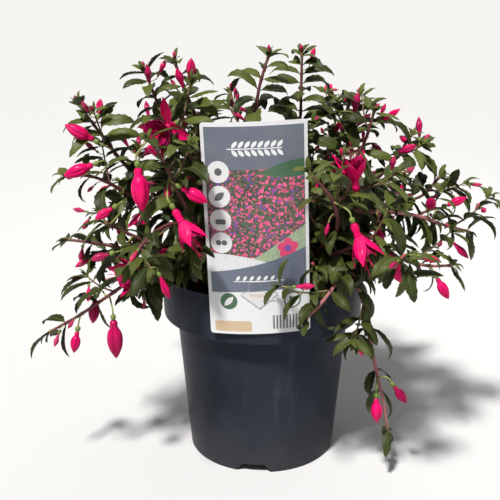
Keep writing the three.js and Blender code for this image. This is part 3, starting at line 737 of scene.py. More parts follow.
def giveTree(item, tree, values):  # a nodes modifier with its named inputs set
    modifier = item.modifiers.new(tree.name, "NODES")
    modifier.node_group = tree
    sockets = {s.name: s.identifier for s in tree.interface.items_tree if s.in_out == "INPUT"}
    for name, value in values.items():
        modifier[sockets[name]] = value


def makeMix():
    floor, shoulder = pot["floorHeight"] + pot["wall"], pot["shoulderHeight"] + pot["wall"]
    sides = mix["sides"]
    levels = [
        (inwardWall(floor) - gap, floor + gap),
        (inwardWall(pot["shoulderHeight"]) - gap, shoulder + gap),
        (inwardWall(shoulder + gap) - gap, shoulder + 2 * gap),
        (inwardWall(mix["height"]) - gap, mix["edge"]),
    ]
    edge = levels[-1][0]
    radii = [0.97 * edge * (1 - i / mix["rings"]) for i in range(mix["rings"])]
    turns = np.linspace(0, 2 * math.pi, sides, False)
    rings = [[(r * math.cos(a), r * math.sin(a), z) for a in turns] for r, z in levels]
    for r in radii:
        ring = []
        for a in turns:
            x, y = r * math.cos(a), r * math.sin(a)
            ease = min(1.0, (edge - r) / mix["easeOver"])
            ring.append((x, y, mix["edge"] + (mixHeight(x, y) - mix["edge"]) * ease))
        rings.append(ring)
    build = Build()
    addTube(build, np.array(rings))
    chip = Build()
    corners = [(-0.5, -0.3, -0.1), (0.5, -0.22, -0.12), (0.42, 0.3, -0.08), (-0.45, 0.26, -0.12)]
    tops = [(-0.42, -0.22, 0.12), (0.4, -0.2, 0.08), (0.46, 0.2, 0.14), (-0.36, 0.24, 0.1)]
    walls = [[i, (i + 1) % 4, (i + 1) % 4 + 4, i + 4] for i in range(4)]
    chip.add(np.array(corners + tops) / mm, [[3, 2, 1, 0], [4, 5, 6, 7], *walls])
    chipShape = bpy.data.objects.new("barkChip", chip.mesh("barkChip", []))
    chipShape.data.shade_flat()
    ground = bpy.data.objects.new("mixBody", build.mesh("mixBody", [mixFinish("pottingMix", False)]))
    bpy.context.scene.collection.objects.link(ground)
    tree = chipTree(chipShape, mixFinish("barkChips", True))
    area = math.pi * (mix["chipsReach"] * mm) ** 2
    giveTree(ground, tree, {
        "Chips per square metre": mix["chips"] / area,
        "Smallest": mix["chipSize"][0] * mm,
        "Largest": mix["chipSize"][1] * mm,
        "Seed": mix["seed"],
    })
    mesh = settled(ground, "fine_potting_mix")
    bpy.data.objects.remove(ground)
    bpy.data.objects.remove(chipShape)
    place("fine_potting_mix", mesh, "potting_mix", "potting_mix")


makeMix()

print("stage: plant label")

card = {
    "width": 90,
    "height": 187,
    "thickness": 0.8,
    "bottom": 155,
    "bottomX": -3,
    "standOff": 101.2,
    "bend": 140,
    "lean": 2.4,  # degrees back
    "roll": -2.1,
    "corner": 2.5,
    "tabTip": 24,
    "tabBarb": 37,
    "tabNeck": 41,
    "tabTop": 49,
    "tabWidth": 32,
    "tabNeckWidth": 17,
    "tabProud": 0.6,
    "legWidth": 17,
    "legDepth": 18,
}


def onCard(right, rise, out):  # right and up from the middle of the lower edge, and out from the face
    turn = right / card["bend"]
    bow = card["bend"] * (1 - math.cos(turn))
    x = card["bend"] * math.sin(turn) + out * math.sin(turn)
    y, z = bow - out * math.cos(turn), rise
    roll, lean = math.radians(card["roll"]), math.radians(card["lean"])
    x, z = x * math.cos(roll) + z * math.sin(roll), z * math.cos(roll) - x * math.sin(roll)
    y, z = y * math.cos(lean) - z * math.sin(lean), y * math.sin(lean) + z * math.cos(lean)
    return (x + card["bottomX"], y - card["standOff"], z + card["bottom"])


def addPlate(build, columns, behind, before, rows):  # a plate bent with the card
    front, back, right, rise = [], [], [], []
    for j in range(rows + 1):
        share = j / rows
        heights = [low + (high - low) * share for _, low, high in columns]
        front.append([onCard(r, h, before) for (r, _, _), h in zip(columns, heights)])
        back.append([onCard(r, h, -behind) for (r, _, _), h in zip(columns, heights)])
        right.append([r for r, _, _ in columns])
        rise.append(heights)
    addSheet(build, np.array(front), np.array(back), right=np.array(right), rise=np.array(rise))


def cardColumns():
    half, corner = card["width"] / 2, card["corner"]
    columns = []
    for i in range(7):
        angle = math.pi / 2 * i / 6
        inset = corner * (1 - math.sin(angle))
        columns.append((-half + corner * (1 - math.cos(angle)), inset, card["height"] - inset))
    middle = np.linspace(-half + corner, half - corner, 31)[1:-1]
    mirrored = [(-r, low, high) for r, low, high in reversed(columns)]
    return columns + [(r, 0.0, card["height"]) for r in middle] + mirrored


def tabColumns():
    wing, neck = card["tabWidth"] / 2, card["tabNeckWidth"] / 2
    cut = card["tabTip"] + (card["tabBarb"] - card["tabTip"]) * neck / wing
    half = [
        (wing, card["tabBarb"], card["tabBarb"] + 1),
        (neck + 0.1, cut, card["tabNeck"]),
        (neck, cut, card["tabTop"]),
    ]
    left = [(-r, low, high) for r, low, high in half]
    return left + [(0.0, card["tabTip"], card["tabTop"])] + half[::-1]


inks = {
    "paper": (0.58, 0.59, 0.605),
    "slate": (0.076, 0.092, 0.131),
    "blueSlate": (0.065, 0.084, 0.13),
    "green": (0.006, 0.075, 0.022),
    "deepLeaf": (0.014, 0.026, 0.012),
    "leaf": (0.075, 0.125, 0.035),
    "paleLeaf": (0.3, 0.38, 0.25),
    "rose": (0.52, 0.008, 0.1),
    "blush": (0.76, 0.085, 0.27),
    "violet": (0.12, 0.02, 0.24),
    "wash": (0.42, 0.435, 0.46),
    "tan": (0.46, 0.34, 0.21),
    "black": (0.02, 0.02, 0.022),
    "shade": (0.16, 0.165, 0.175),
    "dust": (0.4, 0.39, 0.37),
}
art = {  # the print, in millimetres from the middle of the card's lower edge
    "heading": (0, 165.5, 84, 36),  # the middle, width and height of a patch
    "picture": (0, 109, 84, 77),
    "half": 42.0,  # half the width inside the pale border
    "cells": ((1.9, 0.3, 0.42), (2.7, 0.38, 0.5), (3.9, 0.4, 0.45), (5.6, 0.4, 0.4)),  # scale, size, share
    "flower": (26, 78),
    "petalTurns": (0.314, 2.827, 4.084, 5.341),
    "petalRadius": 3.9,
    "signs": (-31, (146, 125, 104.5, 84.5)),
    "badge": (-27, 31),
    "ring": (29, 30.5),
    "plate": (-24, 7.4, 33, 10, 2.2),
    "bars": (27, 10.6, 32, 13),
    "barSteps": (2.9, 1.45),
}


def cardFinish():
    ink = Finish("printedCard", IOR=1.5)
    right, rise, front = ink.mark("right"), ink.mark("rise"), ink.mark("front")

    def box(x, y, wide, high, corner=0.01):  # a rounded patch about a middle
        dx = (abs(right - x) - (wide / 2 - corner)).atLeast(0.0)
        dy = (abs(rise - y) - (high / 2 - corner)).atLeast(0.0)
        return (dx * dx + dy * dy) ** 0.5 < corner

    def disc(x, y, radius):
        return (right - x) * (right - x) + (rise - y) * (rise - y) < radius**2

    def leafPatch(x, y, long, wide, angle):  # a pointed leaf
        c, s = math.cos(angle), math.sin(angle)
        along = (right - x) * c + (rise - y) * s
        side = (rise - y) * c - (right - x) * s
        reach = (1 - along * along / (long / 2) ** 2).held()
        return abs(side) < reach * (wide / 2)

    tone = ink.blend(box(*art["heading"]), inks["paper"], inks["slate"])
    # the picture: a bed of leaves full of small flowers, in four sizes of cell
    spot = ink.join(right * 0.1, rise * 0.1)
    sway = ink.node("ShaderNodeTexNoise", {}, {"Vector": spot, "Scale": 5.0, "Detail": 3.0}, output=1)
    bend = {0: sway, 1: (0.34, 0.34, 0.0), 2: spot}
    bent = ink.node("ShaderNodeVectorMath", {"operation": "MULTIPLY_ADD"}, bend)
    leafy = ink.node("ShaderNodeTexVoronoi", {}, {"Vector": bent, "Scale": 4.6})
    bed = ink.blend((leafy * 1.7).held(), inks["leaf"], inks["deepLeaf"])
    for scale, size, share in art["cells"]:
        cells = ink.node("ShaderNodeTexVoronoi", {}, {"Vector": bent, "Scale": scale})
        pick = ink.node("ShaderNodeSeparateColor", {}, [cells.other("Color")])
        bloomTone = ink.blend(pick.other(1), inks["rose"], inks["blush"])
        bloomTone = ink.blend(pick.other(2) > 0.9, bloomTone, inks["violet"])
        bed = ink.blend((cells < size) * (pick < share), bed, bloomTone)
    tone = ink.blend(box(*art["picture"]), tone, bed)
    # a pale corner with one round flower
    half = art["half"]
    corner = (rise < 98.0 - (half - right) * 0.62) * (right > -12.0) * (right < half) * (rise > 60.0)
    dapple = ink.blend((leafy * 1.3).held(), inks["paleLeaf"], (0.19, 0.26, 0.15))
    tone = ink.blend(corner, tone, dapple)
    x, y = art["flower"]
    petals = disc(x, y + 5.6, art["petalRadius"])
    for turn in art["petalTurns"]:
        spread = disc(x + 5.6 * math.cos(turn), y + 5.6 * math.sin(turn), art["petalRadius"])
        petals = petals.atLeast(spread)
    tone = ink.blend(petals, tone, inks["rose"])
    tone = ink.blend(disc(x, y, 3.0), tone, inks["violet"])
    # a green sweep under the heading, and pale and blue sweeps over the foot
    inside = abs(right) < half
    fromLeft, fromRight = right + half, 44.0 - right
    sweep = (rise < 155.0 - fromRight * fromRight * 0.0065) * (rise > 138.0) * (right > -2.0)
    sweep = sweep * (rise > 141.0 - fromRight * 0.16 + fromRight * fromRight * 0.0055)
    tone = ink.blend(sweep * inside, tone, inks["green"])
    wave = 58.0 + 0.0042 * fromLeft * fromLeft * 0.45 + fromLeft * 0.08
    lace = ink.node("ShaderNodeTexVoronoi", {"feature": "DISTANCE_TO_EDGE"}, {"Vector": spot, "Scale": 4.2})
    wash = ink.blend(lace < 0.05, (0.56, 0.57, 0.585), inks["wash"])
    washArea = (rise < 75.0 - fromLeft * fromLeft * 0.0035) * (rise > 40.0)
    tone = ink.blend(washArea * inside, tone, wash)
    foot = 39.0 + fromLeft * 0.03
    tone = ink.blend((rise < wave) * (rise > foot) * inside, tone, inks["blueSlate"])
    tone = ink.blend(rise < foot, tone, inks["paper"])
    # a white sprig for a heading, and a row of leaves over the foot
    sprig = box(0, 165, 46, 0.9, 0.4)
    for i in range(8):
        x = -19 + 5.4 * i
        sprig = sprig.atLeast(leafPatch(x + 2.5, 168.6, 7.4, 3.2, 0.85))
        sprig = sprig.atLeast(leafPatch(x + 2.5, 161.4, 7.4, 3.2, -0.85))
    tone = ink.blend(sprig, tone, (0.62, 0.63, 0.64))
    band = box(0, 49.5, 44, 0.8, 0.3)
    for i in range(7):
        band = band.atLeast(leafPatch(-18 + 6 * i, 52.3, 5.6, 2.6, 0.9))
    tone = ink.blend(band, tone, (0.6, 0.61, 0.625))
    # pale discs with a plain sign each, down the left side
    x, heights = art["signs"]
    for i, y in enumerate(heights):
        tone = ink.blend(disc(x, y, 9.3), tone, (0.58, 0.59, 0.6))
        sign = [
            disc(x, y, 3.2),
            leafPatch(x, y, 11, 6, 0.7),
            box(x, y - 1.5, 9, 4.5, 1.5),
            disc(x - 2.5, y, 2.4).atLeast(disc(x + 2.5, y, 2.4)),
        ][i]
        tone = ink.blend(sign, tone, (0.05, 0.055, 0.06))
    # the foot: a round leaf badge, a tan plate, a green ring and a pattern of bars
    tone = ink.blend(disc(*art["badge"], 7.6), tone, inks["green"])
    tone = ink.blend(leafPatch(*art["badge"], 12, 5, 0.8), tone, inks["paper"])
    ring = disc(*art["ring"], 7.8) * (1 - disc(*art["ring"], 6.4))
    tone = ink.blend(ring.atLeast(leafPatch(*art["ring"], 9, 4.4, 2.2)), tone, inks["green"])
    tone = ink.blend(box(*art["plate"]), tone, inks["tan"])
    wide, fine = [(right / step).fraction() for step in art["barSteps"]]
    bars = (wide < 0.3).atLeast((fine > 0.62) * (fine < 0.8))
    tone = ink.blend(box(*art["bars"]) * bars, tone, inks["black"])
    # the painted lines of shade round the arrow tab, and faint painted shade inside it
    wing = abs(right)
    low = abs(rise - wing * 0.8125 - 24.0) * 0.776
    high = abs(rise + wing * 0.405 - 44.5) * 0.927
    line = (low < 0.34) * (wing < 16.0)
    line = line.atLeast((high < 0.3) * (wing > 8.5) * (wing < 16.0))
    line = line.atLeast((abs(wing - 8.6) < 0.3) * (rise > 40.9) * (rise < 49.0))
    tone = ink.blend(line, tone, inks["shade"])
    inner = (rise > wing * 0.8125 + 24.0) * (rise < 41.0 - wing * 0.1) * (wing < 15.0)
    tone = ink.blend(inner * 0.16, tone, (0.2, 0.2, 0.21))
    tone = ink.blend(box(0, 36.5, 17, 2.6, 1.0), tone, (0.5, 0.42, 0.36))
    tone = ink.blend(front, (0.58, 0.59, 0.6), tone)
    # weather: faint dust and wear
    dust = ink.spots(45.0, 4.0)
    tone = ink.blend((dust * 0.16).held(), tone, inks["dust"])
    ink.set("Base Color", tone)
    ink.set("Roughness", 0.3 + dust * 0.14)
    ink.set("Normal", ink.bump(ink.spots(26.0, 2.0) + ink.spots(500.0, 1.0) * 0.05, 0.06, 0.001))
    return ink.material


def makeLabel():
    build = Build()
    addPlate(build, cardColumns(), card["thickness"], 0.0, 60)
    addPlate(build, tabColumns(), 0.2, card["tabProud"], 6)
    rimTop = pot["height"] + gap
    inside = inwardWall(pot["height"] - card["legDepth"]) - gap - 0.55
    outside = card["standOff"] + math.sin(math.radians(card["lean"])) * (rimTop - card["bottom"]) + 0.4
    half, thick = card["legWidth"] / 2, card["thickness"]
    path = [(-outside, rimTop), (-inside, rimTop), (-inside, rimTop - card["legDepth"] + thick)]
    outer = [(-outside, rimTop + thick)]
    outer += rounded((-inside + thick, rimTop + thick), (-outside, rimTop + thick), (-inside + thick, 0), 1.4)
    outer.append((-inside + thick, rimTop - card["legDepth"] + thick))
    inner = [path[0]] + [path[1]] * (len(outer) - 2) + [path[2]]
    columns = np.linspace(-half, half, 9)
    front = np.array([[(x, y, z) for x in columns] for y, z in outer])
    back = np.array([[(x, y, z) for x in columns] for y, z in inner])
    marks = {"right": np.zeros(front.shape[:2]), "rise": np.full(front.shape[:2], -20.0)}
    addSheet(build, front, back, **marks)
    build.marks["front"][-1][:] = 0.0
    place("fine_plant_label", build.mesh("fine_plant_label", [cardFinish()]), "plant_label", "label_card")


makeLabel()

print("stage: branches, leaves and flowers find their places")

leaf = {
    "longest": 52,
    "shortest": 28,
    "young": (24, 34),
    "widthShare": 0.32,
    "arch": 1.15,
    "youngArch": 0.69,
    "spread": (0.85, 1.2),
    "swing": 0.42,
    "droop": 0.12,
}
wood = {
    "step": 34,
    "collar": 5,
    "holeDepth": 18,
    "rootRadius": 3.2,
    "branchRadius": 2.3,
    "shootRadius": 1,
    "shootLength": (30, 52),
    "stalkReach": 15,
    "stalkHook": 10,
    "stalkBow": 0.25,
}
flower = {
    "tube": 11,
    "sepal": 30,
    "sepalWidth": 12,
    "sepalArch": 0.5,
    "sepalThickness": 1.0,
    "budWidest": 7.2,
    "corollaLength": 17,
    "corollaRadius": 7.5,
    "stamen": 26,
    "style": 34,
}
growth = {"leafyShare": 0.36, "nodeSpacing": 17, "pairEvery": 5, "shootEvery": 6}

# where each rooted plant stands in the mix, and its branches, with the points that they pass:
# the first one starts at the plant's foot, the others at a share of the first one's length
plants = {
    "stem_top_left": [-14, 4, [
        [None, [-20, -2, 232], [-45, -12, 292], [-64, -24, 342], [-80, -30, 387]],
        [0.3, [-55, 4, 272], [-92, 10, 322], [-104, 15, 354], [-113, 15, 377]],
        [0.36, [-56, -44, 287], [-70, -60, 315], [-84, -66, 343]],
    ]],
    "stem_top_middle": [4, 12, [
        [None, [0, 4, 237], [-8, -6, 297], [-7, -12, 340], [-3, -15, 367], [5, -15, 393]],
        [0.25, [20, 12, 272], [34, 16, 309], [37, 20, 365], [37, 20, 393]],
    ]],
    "stem_top_right": [20, -2, [
        [None, [30, 2, 232], [56, 8, 285], [79, 15, 320], [83, 15, 347]],
        [0.35, [70, -12, 269], [92, -20, 309], [101, -25, 343]],
    ]],
    "stem_right_high": [34, 10, [
        [None, [50, 8, 222], [85, 6, 249], [108, 4, 271], [128, 2, 295], [142, 0, 319]],
        [0.4, [98, -14, 247], [128, -22, 259], [151, -28, 265], [164, -30, 283]],
    ]],
    "stem_right_long": [38, -12, [
        [None, [46, -38, 222], [64, -56, 253], [104, -60, 256], [147, -50, 249], [174, -40, 236],
         [195, -30, 230]],
        [0.42, [96, -66, 235], [125, -64, 213], [150, -62, 206], [173, -58, 205]],
        [0.34, [70, -74, 273], [76, -84, 297]],
    ]],
    "stem_right_trailing": [32, -30, [
        [None, [60, -52, 205], [84, -66, 196], [94, -74, 157], [105, -77, 108], [113, -75, 78],
         [119, -75, 45]],
        [0.22, [64, -84, 205], [58, -104, 197], [44, -118, 185], [34, -124, 177]],
    ]],
    "stem_front_right": [16, -38, [
        [None, [46, -64, 219], [62, -92, 247], [56, -112, 277], [35, -119, 303]],
        [0.36, [82, -102, 237], [100, -124, 239], [116, -146, 225]],
    ]],
    "stem_front_left": [-22, -36, [
        [None, [-48, -72, 222], [-74, -104, 255], [-94, -128, 251], [-112, -148, 229]],
        [0.42, [-72, -98, 279], [-84, -104, 309], [-96, -108, 329]],
    ]],
    "stem_left_high": [-36, 4, [
        [None, [-56, 0, 222], [-100, -10, 257], [-130, -18, 292], [-158, -20, 331], [-170, -20, 349]],
        [0.42, [-114, -26, 259], [-150, -42, 283], [-180, -44, 287]],
    ]],
    "stem_left_low": [-36, -18, [
        [None, [-60, -32, 205], [-107, -38, 211], [-153, -40, 221], [-184, -40, 225]],
        [0.3, [-98, -62, 203], [-132, -74, 187], [-174, -70, 158], [-201, -63, 141]],
        [0.2, [-90, -72, 223], [-118, -88, 243], [-140, -92, 255]],
    ]],
    "stem_back_left": [-20, 28, [
        [None, [-40, 48, 227], [-80, 80, 285], [-114, 100, 323]],
        [0.35, [-84, 88, 237], [-122, 112, 243], [-152, 126, 225]],
    ]],
    "stem_back_middle": [2, 36, [
        [None, [-6, 56, 237], [-22, 90, 305], [-34, 110, 351]],
        [0.3, [4, 92, 245], [6, 128, 265], [2, 152, 253]],
    ]],
    "stem_back_right": [26, 28, [
        [None, [42, 46, 232], [72, 76, 295], [92, 92, 337]],
        [0.35, [84, 84, 237], [120, 104, 251], [146, 118, 235]],
    ]],
    "stem_back_low": [2, 54, [
        [None, [-18, 80, 209], [-50, 116, 217], [-76, 146, 195]],
        [0.3, [20, 98, 211], [50, 126, 217], [78, 146, 193]],
    ]],
}

# each flower: its kind, its plant, the top of its tube, the tip it hangs to, its sepals' spread
flowers = [
    ["bloom", "stem_top_left", [-78, -66, 335], [-92, -92, 329], 1.3],
    ["bud", "stem_top_left", [-65, -40, 371], [-64, -42, 390]],
    ["bud", "stem_front_left", [-104, -114, 305], [-101, -116, 269]],
    ["bud", "stem_front_left", [-68, -116, 289], [-47, -122, 278]],
    ["bloom", "stem_front_left", [-74, -126, 273], [-56, -132, 243], 0.55],
    ["bud", "stem_left_high", [-151, -62, 299], [-176, -68, 290]],
    ["bud", "stem_left_high", [-152, -48, 319], [-176, -52, 333]],
    ["bud", "stem_left_low", [-129, -99, 268], [-143, -105, 260]],
    ["bud", "stem_left_low", [-133, -104, 229], [-148, -108, 225]],
    ["bloom", "stem_left_low", [-102, -98, 212], [-112, -110, 214], 0.8],
    ["bud", "stem_left_low", [-155, -66, 175], [-158, -68, 152]],
    ["bud", "stem_left_low", [-135, -88, 163], [-134, -88, 126]],
    ["bud", "stem_left_low", [-171, -76, 147], [-175, -78, 127]],
    ["bud", "stem_top_right", [86, -2, 339], [88, -4, 357]],
    ["bud", "stem_right_high", [127, -14, 303], [143, -18, 310]],
    ["bloom", "stem_right_long", [78, -92, 281], [74, -96, 309], 0.7],
    ["bud", "stem_right_long", [149, -58, 259], [147, -76, 271]],
    ["bud", "stem_right_long", [168, -46, 259], [184, -50, 267]],
    ["bloom", "stem_front_right", [72, -124, 261], [84, -130, 229], 0.6],
    ["bud", "stem_right_long", [100, -84, 247], [102, -88, 231]],
    ["bud", "stem_front_right", [104, -108, 231], [120, -106, 203]],
    ["bud", "stem_right_long", [157, -72, 197], [168, -74, 178]],
    ["bud", "stem_right_trailing", [121, -84, 96], [133, -86, 80]],
    ["bud", "stem_right_trailing", [104, -90, 87], [105, -92, 63]],
    ["bud", "stem_back_left", [-98, 100, 287], [-100, 108, 253]],
    ["bloom", "stem_back_left", [-132, 124, 223], [-138, 130, 189], 0.8],
    ["bud", "stem_back_middle", [-34, 112, 313], [-40, 126, 283]],
    ["bloom", "stem_back_middle", [8, 144, 245], [10, 150, 209], 0.9],
    ["bud", "stem_back_right", [74, 92, 285], [78, 102, 253]],
    ["bloom", "stem_back_right", [128, 122, 233], [132, 126, 199], 0.7],
    ["bud", "stem_back_low", [-60, 132, 193], [-62, 136, 159]],
    ["bud", "stem_back_low", [62, 134, 193], [64, 138, 159]],
]


def onSpine(spine, share):
    at = min(share, 0.9999) * (len(spine) - 1)
    piece = int(at)
    return spine[piece] + (spine[piece + 1] - spine[piece]) * (at - piece)


def makeSkeleton():
    skeleton = []
    for plant, (x, y, branches) in plants.items():
        first = None
        for start, *via in branches:
            foot = vec(x, y, mix["height"] + wood["collar"])
            route = Route([onSpine(first, start) if start else foot, *via])
            count = max(5, math.floor(route.length / wood["step"] + 0.5))
            spine = list(route.pointsAt(np.linspace(0, 1, count + 1)))
            if not start:
                spine.insert(0, vec(x, y, mix["height"] - wood["holeDepth"] + gap))
                first = spine
            skeleton.append({
                "plant": plant,
                "route": route,
                "spine": spine,
                "rooted": not start,
                "key": len(skeleton),
            })
    return skeleton


class Room:
    # the points that are taken, each with its radius and its owner
    def __init__(self, limit=80000):
        self.at = np.zeros((limit, 3))
        self.radius = np.zeros(limit)
        self.owner = np.zeros(limit, int)
        self.names, self.count = {}, 0

    def nameOf(self, owner):
        return self.names.setdefault(owner, len(self.names))

    def take(self, points, radius, owner):
        if not len(points):
            return
        end = self.count + len(points)
        self.at[self.count:end] = points
        self.radius[self.count:end] = radius
        self.owner[self.count:end] = self.nameOf(owner)
        self.count = end

    def isClear(self, points, radius, owner, ease=1.0):
        points = np.asarray(points)
        if hitsPot(points, radius) or hitsCard(points, radius):
            return False
        n = self.count
        own = self.owner[:n] == self.nameOf(owner)
        reach = (radius + self.radius[:n]) * np.where(own, 0.35, 1.0) + np.where(own, 0.0, 1.0)
        apart = ((points[:, None, :] - self.at[None, :n, :]) ** 2).sum(2)
        return not (apart < (reach * ease) ** 2).any()


def hitsPot(points, radius):
    reach = np.hypot(points[:, 0], points[:, 1])
    z = points[:, 2]
    near = (z <= pot["height"] + radius + 1) & (reach <= pot["rimRadius"] + radius + 1)
    within = (reach < pot["collarRadius"] - pot["wall"] - radius - 1) & (z > mix["height"] + radius + 2)
    return (near & ~within).any()


def hitsCard(points, radius):
    rise = points[:, 2] - card["bottom"]
    tall = (rise >= -radius - 2) & (rise <= card["height"] + radius + 2)
    side = points[:, 0] - card["bottomX"] - math.sin(math.radians(card["roll"])) * rise
    wide = np.abs(side) <= card["width"] / 2 + radius + 1
    face = -card["standOff"] - math.sin(math.radians(card["lean"])) * rise
    deep = (points[:, 1] > face - radius - 1.5) & (points[:, 1] < face + 10 + radius)
    return (tall & wide & deep).any()


def leafFrame(shape, u):  # a midrib point, and the direction up from the blade there
    arch, length = shape["arch"], shape["length"]
    straight = length * (u - arch * arch * u**5 / 10)
    drop = -length * (arch * u**3 / 3 - arch**3 * u**7 / 42)
    rise = turned(shape["face"], shape["out"], arch * u * u)
    return shape["root"] + shape["out"] * straight + shape["face"] * drop, rise


def leafPoints(shape):
    return [leafFrame(shape, u)[0] for u in (0.12, 0.3, 0.5, 0.7, 0.9)]


room = Room()
skeleton = makeSkeleton()
leaves = []


def placeLeaf(plant, key, length, turnAt, tangent, root, young, ease=1.0, spread=None):
    added = ease < 1
    level, rise = across(tangent)
    halfWidth = length * leaf["widthShare"] / 2 * between(0.9, 1.15, key, 5)
    if added:
        high = min(1.0, max(0.0, (root[2] - dense["highFrom"]) / dense["highOver"]))
        halfWidth *= dense["slim"] + (dense["broad"] - dense["slim"]) * high
    wide = spread or leaf["spread"]
    for attempt in range(4 if added else 9):
        swing = math.ceil(attempt / 2) * leaf["swing"] * (1 if attempt % 2 else -1)
        opened = between(*wide, key, 1) + 0.06 * attempt
        out = turned(tangent, turned(level, rise, turnAt + swing), opened)
        out[2] -= leaf["droop"]
        out = unit(out)
        face = tangent * 0.5 + up * 0.9
        if added:
            face = face + dense["toward"] * high
        face = unit(face - out * face.dot(out))
        arch = (leaf["youngArch"] if young else leaf["arch"]) * between(0.6, 1.5, key, 2)
        if added:
            face = turned(face, np.cross(out, face), between(-dense["roll"], dense["roll"], key, 6))
            arch = between(*dense["young" if young else "mature"], key, 2)
        shape = {
            "root": root - out * 0.4,
            "out": out,
            "face": face,
            "length": length,
            "halfWidth": halfWidth,
            "arch": arch,
        }
        points = leafPoints(shape)
        if added and not withinRoom(points + [leafFrame(shape, 1)[0]]):
            continue
        if room.isClear(points, halfWidth * 0.9, plant, ease):
            room.take(points, halfWidth * 0.9, plant)
            leaves.append({**shape, "plant": plant, "key": key, "young": young})
            return


def withinRoom(points):
    low, high = [vec(*corner) / mm for corner in cadBox]
    points = np.array(points)
    return (points > low - dense["room"]).all() and (points < high + dense["room"]).all()


def budWidth(length):
    return min(flower["budWidest"], length * 0.19 + 0.6)


def flowerFrame(base, tip):
    axis = unit(tip - base)
    level = across(axis)[0]
    return axis, level, np.cross(axis, level)


def sepalShape(bloom, i):
    axis, level, rise = flowerFrame(bloom["base"], bloom["tip"])
    key = bloom["key"]
    radial = turned(level, rise, math.pi / 2 * i + between(-0.2, 0.2, key, i, 42))
    opened = bloom["spread"] + between(-0.12, 0.2, key, i, 43)
    return {
        "root": bloom["base"] + axis * (flower["tube"] - 3) + radial * 0.6,
        "out": turned(axis, radial, opened),
        "face": turned(radial, axis, -opened),
        "length": between(0.92, 1.08, key, i, 44) * flower["sepal"],
        "halfWidth": flower["sepalWidth"] / 2,
        "arch": flower["sepalArch"],
    }


def bearingPoint(plant, base, axis):  # behind the flower, and a stalk's length away
    best, least = None, math.inf
    for branch in [b for b in skeleton if b["plant"] == plant]:
        for i in range(12, 61):
            point = onSpine(branch["spine"], i / 60)
            reach = np.linalg.norm(point - base)
            cost = reach * (1.6 - (base - point).dot(axis) / reach)
            if reach > wood["stalkReach"] and cost < least:
                best, least = point, cost
    return best


def addStalk(plant, bearer, base, axis, size):
    ovary = base - axis * gap
    neck = ovary - axis * wood["stalkHook"] * size
    bend = wood["stalkBow"] * (np.linalg.norm(ovary - bearer) - (ovary - bearer).dot(axis))
    route = [bearer, (bearer + neck) / 2 - axis * bend, neck, ovary - axis * 4 * size, ovary]
    stalks.append({"plant": plant, "route": route, "size": size})


blooms, stalks = [], []
for branch in skeleton:
    spine = branch["spine"]
    points = [p for a, b in zip(spine, spine[1:]) for p in onLine(a, b, 4)]
    points = [p for p in points if not branch["rooted"] or p[2] > mix["height"] + 12]
    room.take(points, wood["branchRadius"], branch["plant"])
for key, (kind, plant, base, tip, *spread) in enumerate(flowers):
    base, tip = vec(*base), vec(*tip)
    axis = flowerFrame(base, tip)[0]
    addStalk(plant, bearingPoint(plant, base, axis), base, axis, 1.0)
    opened = spread[0] if spread else 0
    bloom = {"kind": kind, "plant": plant, "base": base, "tip": tip, "key": key, "spread": opened}
    blooms.append(bloom)
    owner = f"flower {key}"
    if kind == "bud":
        belly = base + (tip - base) * 0.6
        width = budWidth(np.linalg.norm(tip - base))
        room.take(onLine(base, belly, 4), width * 0.8, owner)
        room.take(onLine(belly, tip, 4), width * 0.6, owner)
        continue
    mouth = base + axis * flower["tube"]
    room.take(onLine(base, mouth, 4), 4, owner)
    room.take(onLine(mouth, mouth + axis * flower["corollaLength"], 4), flower["corollaRadius"] + 0.5, owner)
    room.take(onLine(base, mouth + axis * flower["style"], 4), 2, owner)
    for i in range(4):
        room.take(leafPoints(sepalShape(bloom, i)), 5.5, owner)


def nodeCount(length):
    return int(length * (1 - growth["leafyShare"]) / growth["nodeSpacing"])


def nodeAt(n, count):
    return growth["leafyShare"] + (0.985 - growth["leafyShare"]) * n / count


shoots = []


def placeShoot(branch, u, key, salt, ease=1.0, take=1.4, lengths=None):
    root, tangent = onSpine(branch["spine"], u), branch["route"].tangentAt(u)
    level, rise = across(tangent)
    long = between(*(lengths or wood["shootLength"]), *salt, 21)
    for attempt in range(6):
        out = turned(tangent, turned(level, rise, between(0, 2 * math.pi, *salt, 20) + attempt * 1.05), 0.9)
        middle = root + out * long * 0.5
        end = middle + out * long * 0.45 + up * long * 0.16
        points = onLine(root, middle, 4)[2:] + onLine(middle, end, 4)
        if room.isClear(points, 2.2, branch["plant"], ease):
            room.take(points, take, branch["plant"])
            shoots.append({"plant": branch["plant"], "spine": [root, middle, end], "key": key})
            return


for branch in skeleton:
    count = nodeCount(branch["route"].length)
    for n in range(1, count):
        if n % growth["shootEvery"] == 2:
            key = branch["key"]
            placeShoot(branch, nodeAt(n, count), key * 100 + n, (key, n))


def leafPair(branch, n, count, added=False, offset=0.0):
    key, u = branch["key"], nodeAt(n + offset, count)
    salt = int(offset * 10000)
    size = leaf["longest"] + (leaf["shortest"] - leaf["longest"]) * u
    size *= between(0.85, 1.15, key, n, 30)
    if added and onSpine(branch["spine"], u)[2] > dense["bare"]:
        size *= dense["grown"]
    turn = (math.pi / 2 if n % 2 else 0) + between(-0.5, 0.5, key, n, 31) + offset * 1.6
    tangent, root = branch["route"].tangentAt(u), onSpine(branch["spine"], u)
    for hand in range(2):
        leafKey = key * 10000 + n * 10 + hand + salt
        ease = dense["ease"] if added else 1.0
        placeLeaf(branch["plant"], leafKey, size, turn + hand * math.pi, tangent, root, n == count, ease)


def shootPair(shoot, u, size, turn, salt, added=False):
    _, middle, end = shoot["spine"]
    root = onSpine(shoot["spine"], u)
    for hand in range(2):
        key = shoot["key"] * 100 + salt + hand
        ease = dense["ease"] if added else 1.0
        placeLeaf(shoot["plant"], key, size, turn + hand * math.pi, unit(end - middle), root, True, ease)


